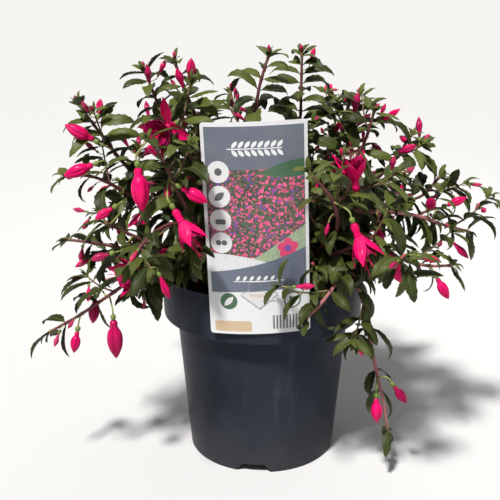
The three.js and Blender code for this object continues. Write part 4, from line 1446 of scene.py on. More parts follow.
for branch in skeleton:
    count = nodeCount(branch["route"].length)
    for n in range(count + 1):
        if n % growth["pairEvery"] == 0 or n >= count:
            leafPair(branch, n, count)
for shoot in shoots:
    size = between(*leaf["young"], shoot["key"], 32)
    shootPair(shoot, 0.97, size, between(-0.5, 0.5, shoot["key"], 33), 0)
print("  leaves shared with the solids:", len(leaves), "shoots:", len(shoots))

dense = {
    "ease": 0.36,  # how close the added leaves may come, against the shared ones
    "shootEvery": 2,
    "shootLength": (22, 46),
    "lowNodes": 5,
    "tipLeaf": (8, 17),
    "mature": (1.25, 2.1),  # their bend
    "young": (0.7, 1.7),
    "roll": 0.35,
    "slim": 0.88,  # their width, against the shared ones
    "broad": 1.0,  # and that of the high ones
    "highFrom": 255,
    "highOver": 70,
    "toward": vec(-0.3, -0.64, 0.0),  # how the high ones turn to the light
    "room": 5.0,  # how far they may stand outside the solids' box
    "thin": 285,  # the height above which the nodes bear a single pair
    "trailing": 150,  # the height below which a hanging branch is nearly bare
    "farOut": 140,  # and the distance from the axis with a height that do the same
    "farLow": 190,
    "bare": 326,  # the height above which the nodes bear no added shoot, and larger leaves
    "grown": 1.2,
    "inSight": "stem_right_long",  # no added leaf hides its first branch from the front
    "outer": 104,  # the distance from the axis beyond which the foliage is thinner
    "core": 84,  # the distance within which it is thickest, and how high that goes
    "coreTop": 282,
    "shootLeaf": (28, 42),
    "stations": [(0.3, 0.9), (0.5, 1.0), (0.72, 0.9), (0.97, 0.75)],  # on a shoot, with a share of its leaf
}

smallBud = {
    "perEnd": 3,  # tries at each end of a branch or shoot
    "share": 0.5,  # how many of the tries bear one
    "tipShare": 0.85,  # how many of the high branches end in one
    "tipLength": (6.5, 9),
    "length": (8, 21),
    "stalk": (7, 14),
    "low": (-1.3, 0.2),  # their lean from level on the low branches, and on the high ones
    "high": (0.3, 1.4),
    "highFrom": 290,
    "above": 150,  # none lower than this
}


def addSmall(plant, base, tip, key):
    blooms.append({"kind": "small", "plant": plant, "base": base, "tip": tip, "key": key})


def addSmallBuds():  # small buds near the ends of branches and shoots
    ends = [(b["plant"], b["spine"], b["key"]) for b in skeleton]
    ends += [(s["plant"], s["spine"], 400 + i) for i, s in enumerate(shoots)]
    for plant, spine, key in ends:
        for i in range(smallBud["perEnd"]):
            bearer = onSpine(spine, between(0.7, 0.96, key, i, 102))
            if draw(key, i, 101) > smallBud["share"] or bearer[2] < smallBud["above"]:
                continue
            turn = between(0, 2 * math.pi, key, i, 103)
            level = unit(vec(math.cos(turn), math.sin(turn), 0) + 0.8 * unit(bearer * vec(1, 1, 0)))
            lean = smallBud["high" if bearer[2] > smallBud["highFrom"] else "low"]
            axis = turned(level, up, between(*lean, key, i, 104))
            length = between(*smallBud["length"], key, i, 105)
            base = bearer + unit(axis + level * 0.6) * between(*smallBud["stalk"], key, i, 106)
            tip = base + axis * length
            line = onLine(base, tip, 4)
            if not withinRoom(line) or not room.isClear(line, 2.5, plant, 0.7):
                continue
            room.take(line, 2.2, f"small bud {key} {i}")
            addStalk(plant, bearer, base, axis, min(1.0, length / 26))
            addSmall(plant, base, tip, 3000 + key * 3 + i)


def isSparse(point):  # where the low branches hang nearly bare
    farOut = np.hypot(*point[:2]) > dense["farOut"]
    return point[2] < dense["trailing"] or farOut and point[2] < dense["farLow"]


def addFoliage():  # more leaves on every node, more shoots, and young leaves at the tips
    shared = len(shoots)
    inFront = [b["spine"] for b in skeleton if b["plant"] == dense["inSight"]][0][3:]
    points = [p for a, b in zip(inFront, inFront[1:]) for p in onLine(a, b, 4)]
    room.take(np.array(points) - vec(0, 11, -3), 16, "line of sight")
    for branch in skeleton:
        count = nodeCount(branch["route"].length)
        key = branch["key"]
        for n in range(-dense["lowNodes"], count):
            u = nodeAt(n, count)
            if u < 0.1 or n % growth["shootEvery"] == 2 or n % dense["shootEvery"]:
                continue
            point = onSpine(branch["spine"], u)
            if isSparse(point) or point[2] > dense["bare"]:
                continue
            own = 7020 + key * 100 + n  # a key that no shared shoot has
            placeShoot(branch, u, own, (key, n, 3), dense["ease"], 1.0, dense["shootLength"])
    for offset in (0.0, 0.5, 0.25, 0.75):  # at the nodes, and at shares of the way to the next one
        for branch in skeleton:
            count = nodeCount(branch["route"].length)
            for n in range(-dense["lowNodes"], count):
                u = nodeAt(n + offset, count)
                if offset == 0 and n % growth["pairEvery"] == 0 and n >= 0 or u < 0.1:
                    continue
                point = onSpine(branch["spine"], u)
                apart = np.hypot(point[0], point[1])
                topmost = offset == 0.5 and point[2] > dense["bare"]
                if offset and (point[2] > dense["thin"] or apart > dense["outer"]) and not topmost:
                    continue
                if offset in (0.25, 0.75) and (point[2] > dense["coreTop"] or apart > dense["core"]):
                    continue
                if isSparse(point) and (offset or n % 3):
                    continue
                leafPair(branch, n, count, True, offset)
    for i, shoot in enumerate(shoots):
        key = shoot["key"]
        size = between(*dense["shootLeaf"], key, 61)
        end = shoot["spine"][2]
        few = i < shared or np.hypot(end[0], end[1]) > dense["outer"] or end[2] > dense["thin"]
        for k, (u, share) in enumerate(dense["stations"][: 3 if few else 4]):
            turn = k * math.pi / 2 + between(-0.5, 0.5, key, 62)
            shootPair(shoot, u, size * share, turn, 20 + 2 * k, True)


def addTipBud(plant, end, tangent, key):
    axis = unit(tangent + 0.35 * vec(math.cos(key), math.sin(key), 0))
    length = between(*smallBud["tipLength"], key, 75)
    base = end + axis
    tip = base + axis * length
    if draw(key, 74) < smallBud["tipShare"] and withinRoom([tip]):
        addStalk(plant, end - tangent * 7, base, axis, length / 26)
        addSmall(plant, base, tip, 9000 + key)


def addTips():  # a tuft of small upright leaves ends every branch and shoot
    ends = []
    for branch in skeleton:
        end = onSpine(branch["spine"], 0.9999)
        ends.append((branch["plant"], end, branch["route"].tangentAt(1.0), branch["key"]))
    for shoot in shoots:
        _, middle, end = shoot["spine"]
        ends.append((shoot["plant"], end, unit(end - middle), shoot["key"]))
    for plant, end, tangent, key in ends:
        for i in range(6):
            size = between(*dense["tipLeaf"], key, i, 71) * (1.25 - 0.25 * (i // 2))
            spread = (0.5 - 0.12 * (i // 2), 0.8 - 0.15 * (i // 2))
            turn = i * math.pi + (i // 2) * math.pi / 2 + between(-0.3, 0.3, key, 72)
            root = end - tangent * 1.5 * (2 - i // 2)
            placeLeaf(plant, 900000 + key * 10 + i, size, turn, tangent, root, True, 0.15, spread)
        if end[2] > dense["bare"]:
            addTipBud(plant, end, tangent, key)


addFoliage()
addSmallBuds()
addTips()
print("  leaves in all:", len(leaves), "shoots in all:", len(shoots))

print("stage: leafy stems")

bladeShape = {
    "rows": 12,
    "petiole": 0.09,
    "tooth": 0.07,
    "folds": (0.1, 0.03, 0.13),  # how each half rises from the rib, and bows down again, for each bend
    "bows": (0.075, 0.1, 0.06),
    "rib": 0.02,
    "arches": (0.45, 0.75, 1.05, 1.4, 1.8, 2.2),
    "bends": (-0.9, 0.0, 0.9),  # half widths to the side at the tip
}


def bladeWidth(u):  # 1 where the blade is widest
    v = max(0.0, (u - bladeShape["petiole"]) / (1 - bladeShape["petiole"]))
    return max(0.1 if u < 0.2 else 0.0, v**0.66 * (1 - v) ** 0.82 / 0.3620)


def bladeMesh(name, arch, bend, fold, bow):
    rows, first = bladeShape["rows"], bladeShape["petiole"]
    stations = [0.0, first] + [first + (1 - first) * (i / rows) ** 0.95 for i in range(1, rows + 1)]
    finely = np.linspace(0, 1, 400)
    last = len(finely) - 1
    turns = arch * finely**2
    straight = np.concatenate([[0], np.cumsum(np.cos(turns)[1:] / last)])
    drop = np.concatenate([[0], np.cumsum(np.sin(turns)[1:] / last)])
    top, under = [], []
    for i, u in enumerate(stations):
        width = bladeWidth(u)
        if 2 <= i < len(stations) - 1:
            width *= 1 + bladeShape["tooth"] * (1 if i % 2 else -1)
        c, s = math.cos(arch * u * u), math.sin(arch * u * u)
        middle = np.interp(u, finely, straight), -np.interp(u, finely, drop)
        ripple = 0.012 * math.sin(11 * u + bend) * width
        lifts = {0.5: (fold * 0.5 - bow * 0.25) * width, 1.0: (fold - bow) * width + ripple}
        rib = bladeShape["rib"] * (1 - 0.6 * u) if i else 0.0

        def point(x, lift):
            return (bend * u * u + x * width, middle[0] + lift * s, middle[1] + lift * c)

        top.append([point(x, lifts.get(abs(x), 0.0)) for x in (-1, -0.5, 0, 0.5, 1)])
        under.append([top[-1][0], point(0, -rib), top[-1][4]])
    build = Build()
    along = np.array(stations)
    for sheet, sides, upper in ((top, [-1, -0.5, 0, 0.5, 1], 1.0), (under, [-1, 0, 1], 0.0)):
        count = len(sides)
        faces = gridFaces(len(stations), count, flip=not upper)
        points = np.array(sheet).reshape(-1, 3) / mm
        marks = {"along": np.repeat(along, count), "across": np.tile(sides, len(along))}
        build.add(points, faces, **marks, upper=upper)
    return bpy.data.objects.new(name, build.mesh(name, []))


def makeBlades():
    shelf = bpy.data.collections.new("bladeShapes")
    for i, arch in enumerate(bladeShape["arches"]):
        for j, bend in enumerate(bladeShape["bends"]):
            fold, bow = bladeShape["folds"][j], bladeShape["bows"][j]
            shelf.objects.link(bladeMesh(f"blade_{i:02d}_{j}", arch, bend, fold, bow))
    return shelf


skin = {
    # dark and lit are a shaded and a lit copy of one mature green, painted shade and painted light; each
    # leaf's tint picks between them
    "dark": (0.0045, 0.0095, 0.0025),
    "lit": (0.072, 0.088, 0.016),
    "fresh": (0.059, 0.081, 0.0135),
    "tip": (0.104, 0.121, 0.024),
    "vein": (0.13, 0.15, 0.05),
    "under": (0.026, 0.039, 0.014),
    "underPale": (0.068, 0.084, 0.034),
    "edge": (0.085, 0.055, 0.025),
    "shadedBelow": 175,  # the leaves near and below this height are painted darker, as painted shade low in the foliage
    "shadedOver": 110,
}


def leafFinish():
    green = Finish("leafSkin", IOR=1.34, Specular_IOR_Level=0.32)
    along, side, upper = green.mark("along"), abs(green.mark("across")), green.mark("upper")
    tint, youth = green.mark("tint"), green.mark("youth")
    rib = (1 - side * 12.0).held()
    phase = along * 11.0 - side * 3.2
    wave = abs(phase.fraction() - 0.5) * 2.0
    vein = ((wave - 0.84).held() * 6.0).held() * (1 - side * 0.5).held()
    quilt = (wave * 0.5 + 0.5) * (side * 4.0).held()
    mottle = green.spots(140.0, 3.0)
    # each leaf's tint blends from painted shade to painted light
    mature = green.blend(tint, skin["dark"], skin["lit"])
    young = green.blend(tint, skin["fresh"], skin["tip"])
    top = green.blend(youth, mature, young)
    top = green.blend(((mottle - 0.42) * 1.6).held() * 0.5, top, skin["fresh"])
    top = green.blend((rib * 0.6 + vein * 0.22).held(), top, skin["vein"])
    top = green.blend(((side - 0.9).held() * 5.0).held(), top, skin["edge"])
    below = green.blend(tint, skin["under"], skin["underPale"])
    below = green.blend((rib * 0.6 + vein * 0.4).held(), below, (0.2, 0.19, 0.1))
    green.set("Base Color", green.blend(upper, below, top))
    green.set("Roughness", 0.58 - upper * (0.21 - mottle * 0.12))
    bowed = green.bump((1 - side * side) * (tint * 2.2 - 0.7), 1.0, 0.0006)
    height = mottle * 0.2 - vein * 0.7 - rib * 0.8 + quilt * 0.35
    green.set("Normal", green.bump(height, 0.55, 0.0007, normal=bowed))
    return green.material


def barkFinish():
    bark = Finish("stemSkin", IOR=1.35)
    paint = bark.mark("paint", colour=True)
    streak = bark.spots(260.0, 4.0)
    patch = bark.spots(60.0, 2.0)
    tone = bark.blend((patch * 0.5).held(), paint, bark.blend(0.55, paint, (0.02, 0.01, 0.008)))
    tone = bark.blend(((streak - 0.55).held() * 1.6).held(), tone, (0.22, 0.2, 0.1))
    bark.set("Base Color", tone)
    bark.set("Roughness", 0.42 + patch * 0.25)
    bark.set("Normal", bark.bump(streak, 0.3, 0.0005))
    return bark.material


def plantTree(shelf, barkSkin, leafSkin):  # rods along paths, and a blade on every leaf point
    tree = newTree("leafyStem", {"Geometry": "Geometry", "Leaf points": "Object", "Sides": "Int"})
    nodes, links = tree.nodes, tree.links

    def mark(name, kind):
        made = nodes.new("GeometryNodeInputNamedAttribute")
        made.data_type = kind
        made.inputs["Name"].default_value = name
        return made.outputs[0]

    given = nodes.new("NodeGroupInput")
    result = nodes.new("NodeGroupOutput")
    curve = nodes.new("GeometryNodeMeshToCurve")
    circle = nodes.new("GeometryNodeCurvePrimitiveCircle")
    circle.inputs["Radius"].default_value = 1.0
    sweep = nodes.new("GeometryNodeCurveToMesh")
    sweep.inputs["Fill Caps"].default_value = True
    smooth = nodes.new("GeometryNodeSetShadeSmooth")
    barkPaint = nodes.new("GeometryNodeSetMaterial")
    barkPaint.inputs["Material"].default_value = barkSkin
    spots = nodes.new("GeometryNodeObjectInfo")
    shapes = nodes.new("GeometryNodeCollectionInfo")
    shapes.inputs["Collection"].default_value = shelf
    shapes.inputs["Separate Children"].default_value = True
    shapes.inputs["Reset Children"].default_value = True
    grow = nodes.new("GeometryNodeInstanceOnPoints")
    grow.inputs["Pick Instance"].default_value = True
    realise = nodes.new("GeometryNodeRealizeInstances")
    leafPaint = nodes.new("GeometryNodeSetMaterial")
    leafPaint.inputs["Material"].default_value = leafSkin
    both = nodes.new("GeometryNodeJoinGeometry")
    links.new(given.outputs["Geometry"], curve.inputs["Mesh"])
    links.new(given.outputs["Sides"], circle.inputs["Resolution"])
    links.new(curve.outputs[0], sweep.inputs["Curve"])
    links.new(circle.outputs["Curve"], sweep.inputs["Profile Curve"])
    links.new(mark("radius", "FLOAT"), sweep.inputs["Scale"])
    links.new(sweep.outputs[0], smooth.inputs["Geometry"])
    links.new(smooth.outputs[0], barkPaint.inputs["Geometry"])
    links.new(given.outputs["Leaf points"], spots.inputs["Object"])
    links.new(spots.outputs["Geometry"], grow.inputs["Points"])
    links.new(shapes.outputs[0], grow.inputs["Instance"])
    links.new(mark("shape", "INT"), grow.inputs["Instance Index"])
    links.new(mark("turn", "QUATERNION"), grow.inputs["Rotation"])
    links.new(mark("size", "FLOAT_VECTOR"), grow.inputs["Scale"])
    links.new(grow.outputs[0], realise.inputs["Geometry"])
    links.new(realise.outputs[0], leafPaint.inputs["Geometry"])
    links.new(barkPaint.outputs[0], both.inputs[0])
    links.new(leafPaint.outputs[0], both.inputs[0])
    links.new(both.outputs[0], result.inputs["Geometry"])
    return tree


twig = {
    "sides": 7,
    "tipRadius": 1.35,
    "knuckle": 0.28,  # how much thicker a branch is at its nodes
    "knuckleReach": 2.0,
    "slim": 0.94,  # the radius, against the solids'
    "old": (0.085, 0.022, 0.023),
    "middle": (0.11, 0.028, 0.03),
    "fresh": (0.14, 0.1, 0.045),
    "stalk": (0.25, 0.27, 0.075),
    "ovary": (0.15, 0.21, 0.042),
    "paler": ("stem_right_long", "stem_right_trailing"),
    "paleGreen": (0.24, 0.17, 0.07),
    "rosy": (0.33, 0.12, 0.125),
    "tipBud": (0.42, 0.06, 0.09),
    "ovaryRadii": [(0, 1.5), (1.2, 2.15), (3.4, 2.5), (5.6, 1.9), (7.4, 0.95), (9, 0.75), (60, 0.8)],
}


def paintRun(stops, shares):  # the colours along a rod, from stops of place and colour
    places = [place for place, _ in stops]
    channels = [np.interp(shares, places, [colour[i] for _, colour in stops]) for i in range(3)]
    return np.stack([*channels, np.ones(len(shares))], 1)


def smoothRun(points, step):
    route = Route(points)
    shares = np.linspace(0, 1, max(6, math.ceil(route.length / step)) + 1)
    return route.pointsAt(shares), shares


def stemRuns(plant):  # every rod of a plant: its points, radii and colours
    runs = []
    for branch in [b for b in skeleton if b["plant"] == plant]:
        points, shares = smoothRun(branch["spine"], 2.2)
        thick = wood["rootRadius"] if branch["rooted"] else wood["branchRadius"]
        radii = thick + (twig["tipRadius"] - thick) * shares**0.85
        count = nodeCount(branch["route"].length)
        for n in range(-4, count + 1):
            apart = (shares - nodeAt(n, count)) * branch["route"].length
            radii = radii * (1 + twig["knuckle"] * np.exp(-((apart / twig["knuckleReach"]) ** 2)))
        stops = [(0, twig["old"]), (0.5, twig["middle"]), (0.93, twig["middle"]), (1, twig["fresh"])]
        if plant in twig["paler"]:
            pale, rosy = twig["paleGreen"], twig["rosy"]
            stops = [(0, twig["old"]), (0.25, pale), (0.5, rosy), (0.93, rosy), (1, twig["fresh"])]
        runs.append((points, radii * twig["slim"], paintRun(stops, shares)))
    for shoot in [s for s in shoots if s["plant"] == plant]:
        points, shares = smoothRun(shoot["spine"], 3.0)
        radii = wood["shootRadius"] * (1 - 0.35 * shares)
        redness = draw(shoot["key"], 81)
        stops = [(0, twig["middle"] if redness > 0.35 else twig["fresh"]), (1, twig["fresh"])]
        runs.append((points, radii, paintRun(stops, shares)))
        if draw(shoot["key"], 82) < 0.3:
            runs.append(tipBud(shoot["spine"][2], shoot["key"]))
    for stalk in [s for s in stalks if s["plant"] == plant]:
        points, shares = smoothRun(stalk["route"], 0.7)
        back = np.linalg.norm(points - points[-1], axis=1) / stalk["size"]
        swell = curveThrough(twig["ovaryRadii"], back) * stalk["size"]
        radii = np.where(shares > 0.5, swell, 0.75 * stalk["size"]).clip(0.4)
        ovary, thread = twig["ovary"], twig["stalk"]
        runs.append((points, radii, paintRun([(0, ovary), (6.5, ovary), (9, thread), (40, thread)], back)))
    return runs


def tipBud(end, key):  # a small green and pink bud on its own short stalk
    out = unit(turned(vec(math.cos(key), math.sin(key), 0), up, between(-0.6, 1.1, key, 83)))
    long = between(6, 12, key, 84)
    shares = np.linspace(0, 1, 13)
    points = end + np.outer(shares * (long + 5), out) - np.outer(shares**2 * 3, up)
    widths = [(0, 0.45), (0.34, 0.42), (0.4, 0.9), (0.48, 0.8)]
    widths += [(0.68, 0.16 * long), (0.85, 0.1 * long), (1, 0.15)]
    pink = twig["tipBud"]
    stops = [(0, twig["stalk"]), (0.36, twig["ovary"]), (0.48, pink), (1, pink)]
    return points, curveThrough(widths, shares), paintRun(stops, shares)


def pathMesh(name, runs):
    points, edges, radii, paint, start = [], [], [], [], 0
    for run, widths, colours in runs:
        points.append(run)
        radii.append(widths)
        paint.append(colours)
        edges += [(start + i, start + i + 1) for i in range(len(run) - 1)]
        start += len(run)
    mesh = bpy.data.meshes.new(name)
    mesh.from_pydata((np.concatenate(points) * mm).tolist(), edges, [])
    setMark(mesh, "radius", "FLOAT", np.concatenate(radii).astype(np.float32) * mm)
    setMark(mesh, "paint", "FLOAT_COLOR", np.concatenate(paint).astype(np.float32))
    return mesh


def leafMesh(name, own):  # one point for each leaf, with its turn, size, shape and tints
    mesh = bpy.data.meshes.new(name)
    mesh.from_pydata([(item["root"] * mm).tolist() for item in own], [], [])
    turns, sizes, shapes, tints, youths = [], [], [], [], []
    bends = len(bladeShape["bends"])
    for item in own:
        side = np.cross(item["out"], item["face"])
        turn = Matrix([side, item["out"], item["face"]]).transposed().to_quaternion()
        turns += [turn.w, turn.x, turn.y, turn.z]
        sizes += [item["halfWidth"] * mm, item["length"] * mm, item["length"] * mm]
        apart = [abs(arch - item["arch"]) for arch in bladeShape["arches"]]
        shapes.append(apart.index(min(apart)) * bends + int(draw(item["key"], 91) * bends))
        # leaves low in the foliage get a darker tint: painted shade
        outOfShade = min(1.0, max(0.0, (item["root"][2] - skin["shadedBelow"]) / skin["shadedOver"]))
        tints.append(draw(item["key"], 92) * (0.25 + 0.75 * outOfShade))
        small = 1 - min(1.0, item["length"] / 30)
        youth = min(1.0, (0.3 if item["young"] else 0.0) + small * 0.9)
        youths.append(youth * between(0.6, 1.1, item["key"], 93))
    setMark(mesh, "turn", "QUATERNION", turns)
    setMark(mesh, "tint", "FLOAT", tints)
    setMark(mesh, "youth", "FLOAT", youths)
    setMark(mesh, "size", "FLOAT_VECTOR", sizes)
    setMark(mesh, "shape", "INT", shapes)
    return mesh


def makeLeafyStems():
    shelf = makeBlades()
    tree = plantTree(shelf, barkFinish(), leafFinish())
    for plant in plants:
        own = [item for item in leaves if item["plant"] == plant]
        paths = bpy.data.objects.new("stemPaths", pathMesh("stemPaths", stemRuns(plant)))
        spots = bpy.data.objects.new("leafPoints", leafMesh("leafPoints", own))
        bpy.context.scene.collection.objects.link(paths)
        bpy.context.scene.collection.objects.link(spots)
        giveTree(paths, tree, {"Leaf points": spots, "Sides": twig["sides"]})
        mesh = settled(paths, "fine_" + plant)
        bpy.data.objects.remove(paths)
        bpy.data.objects.remove(spots)
        place("fine_" + plant, mesh, plant, "leafy_stem")
    for item in list(shelf.objects):
        bpy.data.objects.remove(item)
    bpy.data.collections.remove(shelf)


makeLeafyStems()

print("stage: buds and open flowers")

petal = {
    "budRows": 30,
    "budColumns": 32,
    "profile": [
        (0, 0.26), (0.02, 0.36), (0.05, 0.47), (0.09, 0.5), (0.135, 0.46), (0.17, 0.46), (0.23, 0.62),
        (0.33, 0.88), (0.46, 1.0), (0.6, 0.97), (0.74, 0.8), (0.86, 0.52), (0.95, 0.23), (1, 0.04),
    ],
    "slim": 0.88,  # the sepals' width, against the solids'
    "seam": 0.12,
    "seamDepth": 0.12,
    "ridge": 0.03,
    "toneSeed": 27379,
    "hot": (0.74, 0.0008, 0.107),
    # deep stands in for painted shade, through each flower's tint and its seams
    "deep": (0.22, 0.0008, 0.044),
    # light is the colour of the painted highlight streaks
    "light": (0.87, 0.03, 0.215),
    "dull": (0.42, 0.07, 0.125),
    "crimson": (0.48, 0.002, 0.066),
    "purple": (0.27, 0.002, 0.058),
    "smallProfile": [
        (0, 0.34), (0.14, 0.48), (0.32, 0.72), (0.55, 1.0), (0.76, 0.74), (0.9, 0.36), (1, 0.05),
    ],
    "sepalProfile": [
        (0, 0.34), (0.12, 0.46), (0.3, 0.84), (0.45, 1.0), (0.62, 0.88), (0.8, 0.5), (0.92, 0.2), (1, 0.03),
    ],
    "sepalRows": 20,
    "sepalColumns": 9,
    "tubeProfile": [(0, 1.7), (0.08, 2.5), (0.3, 3.4), (0.5, 3.25), (0.7, 2.9), (0.85, 3.0), (1, 3.4)],
    "tubeRows": 16,
    "tubeColumns": 24,
}


def sepalFinish():
    coat = {"Coat_Weight": 0.19, "Coat_Roughness": 0.12, "Coat_IOR": 1.35}
    pink = Finish("sepalSkin", IOR=1.22, Specular_IOR_Level=0.3, **coat)
    along, seam, tint = pink.mark("along"), pink.mark("seam"), pink.mark("tint")
    fine = pink.join(pink.mark("around") * 9.0, along * 2.2, tint * 10.0)
    streak = pink.spots(1.0, 4.0, 0.6, place=fine)
    cloud = pink.spots(60.0, 2.0)
    # each flower's tint darkens it towards deep: painted shade for the flowers that hang in shadow
    tone = pink.blend(tint, petal["hot"], petal["deep"])
    # lighter streaks: painted highlights on the glossy sepals
    tone = pink.blend((streak * 3.2 - 1.5).held() * 0.6, tone, petal["light"])
    tone = pink.blend(((0.47 - streak) * 3.4).held() * 0.6, tone, petal["deep"])
    # the seams are painted darker: painted shade in their grooves
    tone = pink.blend((seam * 0.75).held(), tone, petal["deep"])
    tone = pink.blend((1 - along * 9.0).held() * 0.4, tone, petal["deep"])
    tone = pink.blend((cloud - 0.45).held() * 0.6, tone, petal["deep"])
    pink.set("Base Color", pink.blend(pink.mark("fresh"), tone, petal["dull"]))
    pink.set("Roughness", 0.27 + streak * 0.2)
    pink.set("Normal", pink.bump(streak - seam * 0.6, 0.45, 0.001))
    return pink.material


def corollaFinish():
    wine = Finish("corollaSkin", IOR=1.22)
    along, tint, thread = wine.mark("along"), wine.mark("tint"), wine.mark("thread")
    fine = wine.join(wine.mark("around") * 30.0, along * 1.2, tint * 10.0)
    streak = wine.spots(1.0, 3.0, place=fine)
    tone = wine.blend((along * 1.2 - 0.1 + (streak - 0.5) * 0.5).held(), petal["crimson"], petal["purple"])
    tone = wine.blend(((streak - 0.55).held() * 1.6).held(), tone, (0.5, 0.012, 0.14))
    tone = wine.blend(thread, tone, (0.62, 0.01, 0.09))
    wine.set("Base Color", tone)
    wine.set("Roughness", 0.45 + streak * 0.15)
    wine.set("Normal", wine.bump(streak, 0.4, 0.0008))
    return wine.material


def seamAt(angle):  # 1 on the seams between the four sepals, 0 away from them
    apart = (angle + math.pi / 4) % (math.pi / 2) - math.pi / 4
    return math.exp(-((apart / petal["seam"]) ** 2))


def addBud(build, bloom):
    base, tip = bloom["base"], bloom["tip"]
    axis, level, rise = flowerFrame(base, tip)
    length = np.linalg.norm(tip - base)
    small = bloom["kind"] == "small"
    rows, columns = (16, 12) if small else (petal["budRows"], petal["budColumns"])
    shares = np.linspace(0, 1, rows) ** 0.95
    widths = curveThrough(petal["profile"], shares) * budWidth(length)
    if small:
        widths = curveThrough(petal["smallProfile"], shares) * (0.5 + 0.145 * length)
    angles = [2 * math.pi * k / columns for k in range(columns)]
    seams = np.array([seamAt(angle) for angle in angles])
    rings, marks = [], []
    for share, wide in zip(shares, widths):
        closed = min(1.0, max(0.0, (share - 0.2) / 0.2))
        ring = []
        for angle, seam in zip(angles, seams):
            ridge = petal["ridge"] * math.cos(4 * angle) * closed
            reach = wide * (1 - petal["seamDepth"] * seam * closed - ridge)
            ring.append(base + axis * share * length + turned(level, rise, angle) * reach)
        rings.append(ring)
        marks.append(seams * closed)
    around = np.tile(np.array([math.cos(a) for a in angles]) + 1, (rows, 1))
    fresh = between(0.1, 0.9, bloom["key"], 96) * min(1.0, max(0.0, 1.4 - length / 14))
    tint = draw(bloom["key"], petal["toneSeed"])
    along = np.repeat(shares, columns)
    addTube(
        build,
        np.array(rings),
        along=along,
        seam=np.array(marks).ravel(),
        around=around.ravel(),
        tint=np.full(len(along), tint),
        fresh=np.full(len(along), fresh),
    )


def budMesh(name, bloom, finish):
    build = Build()
    addBud(build, bloom)
    return build.mesh(name, [finish])


def addFlowerTube(build, bloom, tint):
    base = bloom["base"]
    axis, level, rise = flowerFrame(base, bloom["tip"])
    shares = np.linspace(0, 1, petal["tubeRows"])
    radii = curveThrough(petal["tubeProfile"], shares)
    columns = petal["tubeColumns"]
    angles = [2 * math.pi * k / columns for k in range(columns)]
    rings = []
    for share, radius in zip(shares, radii):
        middle = base + axis * share * flower["tube"]
        rings.append([middle + turned(level, rise, angle) * radius for angle in angles])
    around = np.tile(np.array([math.cos(a) for a in angles]) + 1, (len(shares), 1)).ravel()
    addTube(
        build,
        np.array(rings),
        along=np.repeat(shares * 0.25, columns),
        seam=np.zeros(len(around)),
        around=around,
        tint=np.full(len(around), tint),
    )
    build.marks["front"] = [np.ones(len(around))]
    build.marks["fresh"] = [np.zeros(len(around))]


def addSepal(build, bloom, i, tint):
    shape = sepalShape(bloom, i)
    rows, columns = petal["sepalRows"], petal["sepalColumns"]
    places = np.linspace(0, 1, rows)
    flat = np.linspace(-1, 1, columns)
    widths = curveThrough(petal["sepalProfile"], places) * shape["halfWidth"] * petal["slim"]
    side = unit(np.cross(shape["out"], shape["face"]))
    outer, inner = [], []
    for u, width in zip(places, widths):
        point, lift = leafFrame(shape, u)
        twist = 0.5 * (u - 0.3) * (draw(bloom["key"], i, 97) - 0.5)
        row = []
        for v in flat:
            dish = -0.42 * width * v * v - 0.12 * width * math.exp(-((v / 0.16) ** 2))
            dish += 0.05 * width * (1 - abs(v)) * math.sin(12 * u)
            row.append((point + side * width * v + lift * (dish + twist * width * v), lift))
        thick = flower["sepalThickness"] * (1 - 0.7 * u)
        outer.append([p for p, _ in row])
        inner.append([p - n * thick * (1 - 0.75 * abs(v)) for (p, n), v in zip(row, flat)])
    grid = np.repeat(places[:, None], columns, 1)
    v = np.tile(flat, (rows, 1))
    addSheet(
        build,
        np.array(outer),
        np.array(inner),
        along=0.3 + grid * 0.7,
        seam=np.exp(-((v / 0.12) ** 2)) * 0.35,
        around=v + 1.2 * i,
        tint=tint,
        fresh=0.0,
    )


def bloomMesh(name, bloom, finish):
    tint = draw(bloom["key"], petal["toneSeed"])
    build = Build()
    addFlowerTube(build, bloom, tint)
    for i in range(4):
        addSepal(build, bloom, i, tint)
    return build.mesh(name, [finish])


corolla = {
    "layers": [  # petals, length, radius, turn, flare
        (5, 17.0, 7.6, 0.0, 1.0),
        (5, 15.6, 6.2, 0.63, 0.9),
        (4, 14.0, 4.8, 0.2, 0.8),
        (3, 12.0, 3.2, 1.0, 0.5),
    ],
    "rows": 9,
    "columns": 9,
    "thickness": 0.38,
    "stamens": 8,
    "threads": [(0.1, 0.34), (0.5, 0.3), (0.9, 0.26), (0.93, 0.5)],  # their radii, up to the knob
    "knobs": (0.85, 0.95),  # a stamen's, and the style's
}


def addPetals(build, start, axis, level, rise, key, wider):
    rows, columns = corolla["rows"], corolla["columns"]
    for layer, (count, long, reach, turn, flare) in enumerate(corolla["layers"]):
        for k in range(count):
            middle = 2 * math.pi * k / count + turn + between(-0.15, 0.15, key, layer, k, 51)
            phase = between(0, 6.28, key, layer, k, 52)
            length = long * between(0.92, 1.04, key, layer, k, 53)
            outer, inner = [], []
            for t in np.linspace(0, 1, rows):
                outerRow, innerRow = [], []
                for v in np.linspace(-1, 1, columns):
                    angle = middle + v * 3.6 / count * (0.4 + 0.6 * t**0.6)
                    radius = 1.0 + (reach * wider - 1.0) * t**0.75 + v * 0.42 * t
                    ripple = 0.8 * flare * t**2 * math.sin(2.6 * v + phase) * (0.4 + abs(v))
                    radius += ripple + 1.1 * flare * t**5
                    z = length * t * (1 - 0.14 * v * v) + 0.6 * t * math.sin(4 * v + phase)
                    radial = turned(level, rise, angle)
                    outerRow.append(start + axis * z + radial * radius)
                    innerRow.append(start + axis * z + radial * (radius - corolla["thickness"]))
                outer.append(outerRow)
                inner.append(innerRow)
            grid = np.repeat(np.linspace(0, 1, rows)[:, None], columns, 1)
            v = np.tile(np.linspace(-1, 1, columns), (rows, 1))
            marks = {"along": grid, "around": v + 1.3 * k + layer, "tint": draw(key, layer, k, 54)}
            addSheet(build, np.array(inner), np.array(outer), **marks, thread=0.0)


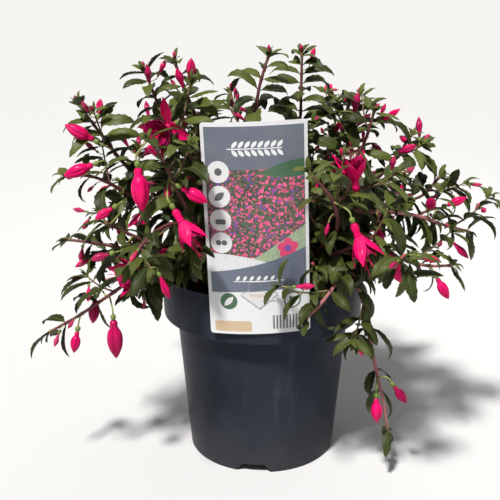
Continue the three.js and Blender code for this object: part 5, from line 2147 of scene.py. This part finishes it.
def addThreads(build, start, axis, level, rise, key):  # the stamens and the longer style
    for i in range(corolla["stamens"] + 1):
        style = i == corolla["stamens"]
        radial = turned(level, rise, 2.4 * i + 0.4)
        reach = flower["style"] if style else flower["stamen"] * between(0.86, 1.08, key, i, 55)
        spread = 1.0 if style else between(2.4, 5.2, key, i, 56)
        shares = np.linspace(0.1, 1, 14)
        apart = np.outer(0.8 + spread * shares**2, radial)
        points = start + np.outer(shares * reach, axis) + apart - np.outer(0.8 * shares**2, up)
        widths = [*corolla["threads"], (0.965, corolla["knobs"][style]), (1, 0.3)]
        rings = rodRings(points, curveThrough(widths, shares), 6)
        plain = np.zeros(len(shares))
        marks = {"along": shares, "around": plain, "tint": plain}
        addTube(build, rings, **marks, thread=np.where(shares > 0.92, 0.6, 1.0))
        build.marks["front"].append(np.ones(rings[..., 0].size))


def corollaMesh(name, bloom, finish):
    axis, level, rise = flowerFrame(bloom["base"], bloom["tip"])
    start = bloom["base"] + axis * (flower["tube"] + gap)
    build = Build()
    wider = 1.08 + 0.42 * min(1.0, max(0.0, bloom["spread"] - 0.7) / 0.6)
    addPetals(build, start, axis, level, rise, bloom["key"], wider)
    addThreads(build, start, axis, level, rise, bloom["key"])
    return build.mesh(name, [finish])


def makeFlowers():
    sepals, petals = sepalFinish(), corollaFinish()
    counts = {"bud": 0, "bloom": 0}
    little = Build()
    for bloom in blooms:
        if bloom["kind"] == "small":
            addBud(little, bloom)
            continue
        counts[bloom["kind"]] += 1
        number = f"{counts[bloom['kind']]:02d}"
        if bloom["kind"] == "bud":
            name = "bud_" + number
            place("fine_" + name, budMesh("fine_" + name, bloom, sepals), name, "sepal")
            continue
        name = "bloom_" + number
        place("fine_" + name, bloomMesh("fine_" + name, bloom, sepals), name, "sepal")
        name = "corolla_" + number
        place("fine_" + name, corollaMesh("fine_" + name, bloom, petals), name, "corolla_petal")
    piece = bpy.data.objects.new("small_buds", little.mesh("small_buds", [sepals]))
    bpy.context.scene.collection.objects.link(piece)
    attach(piece, "root")


makeFlowers()
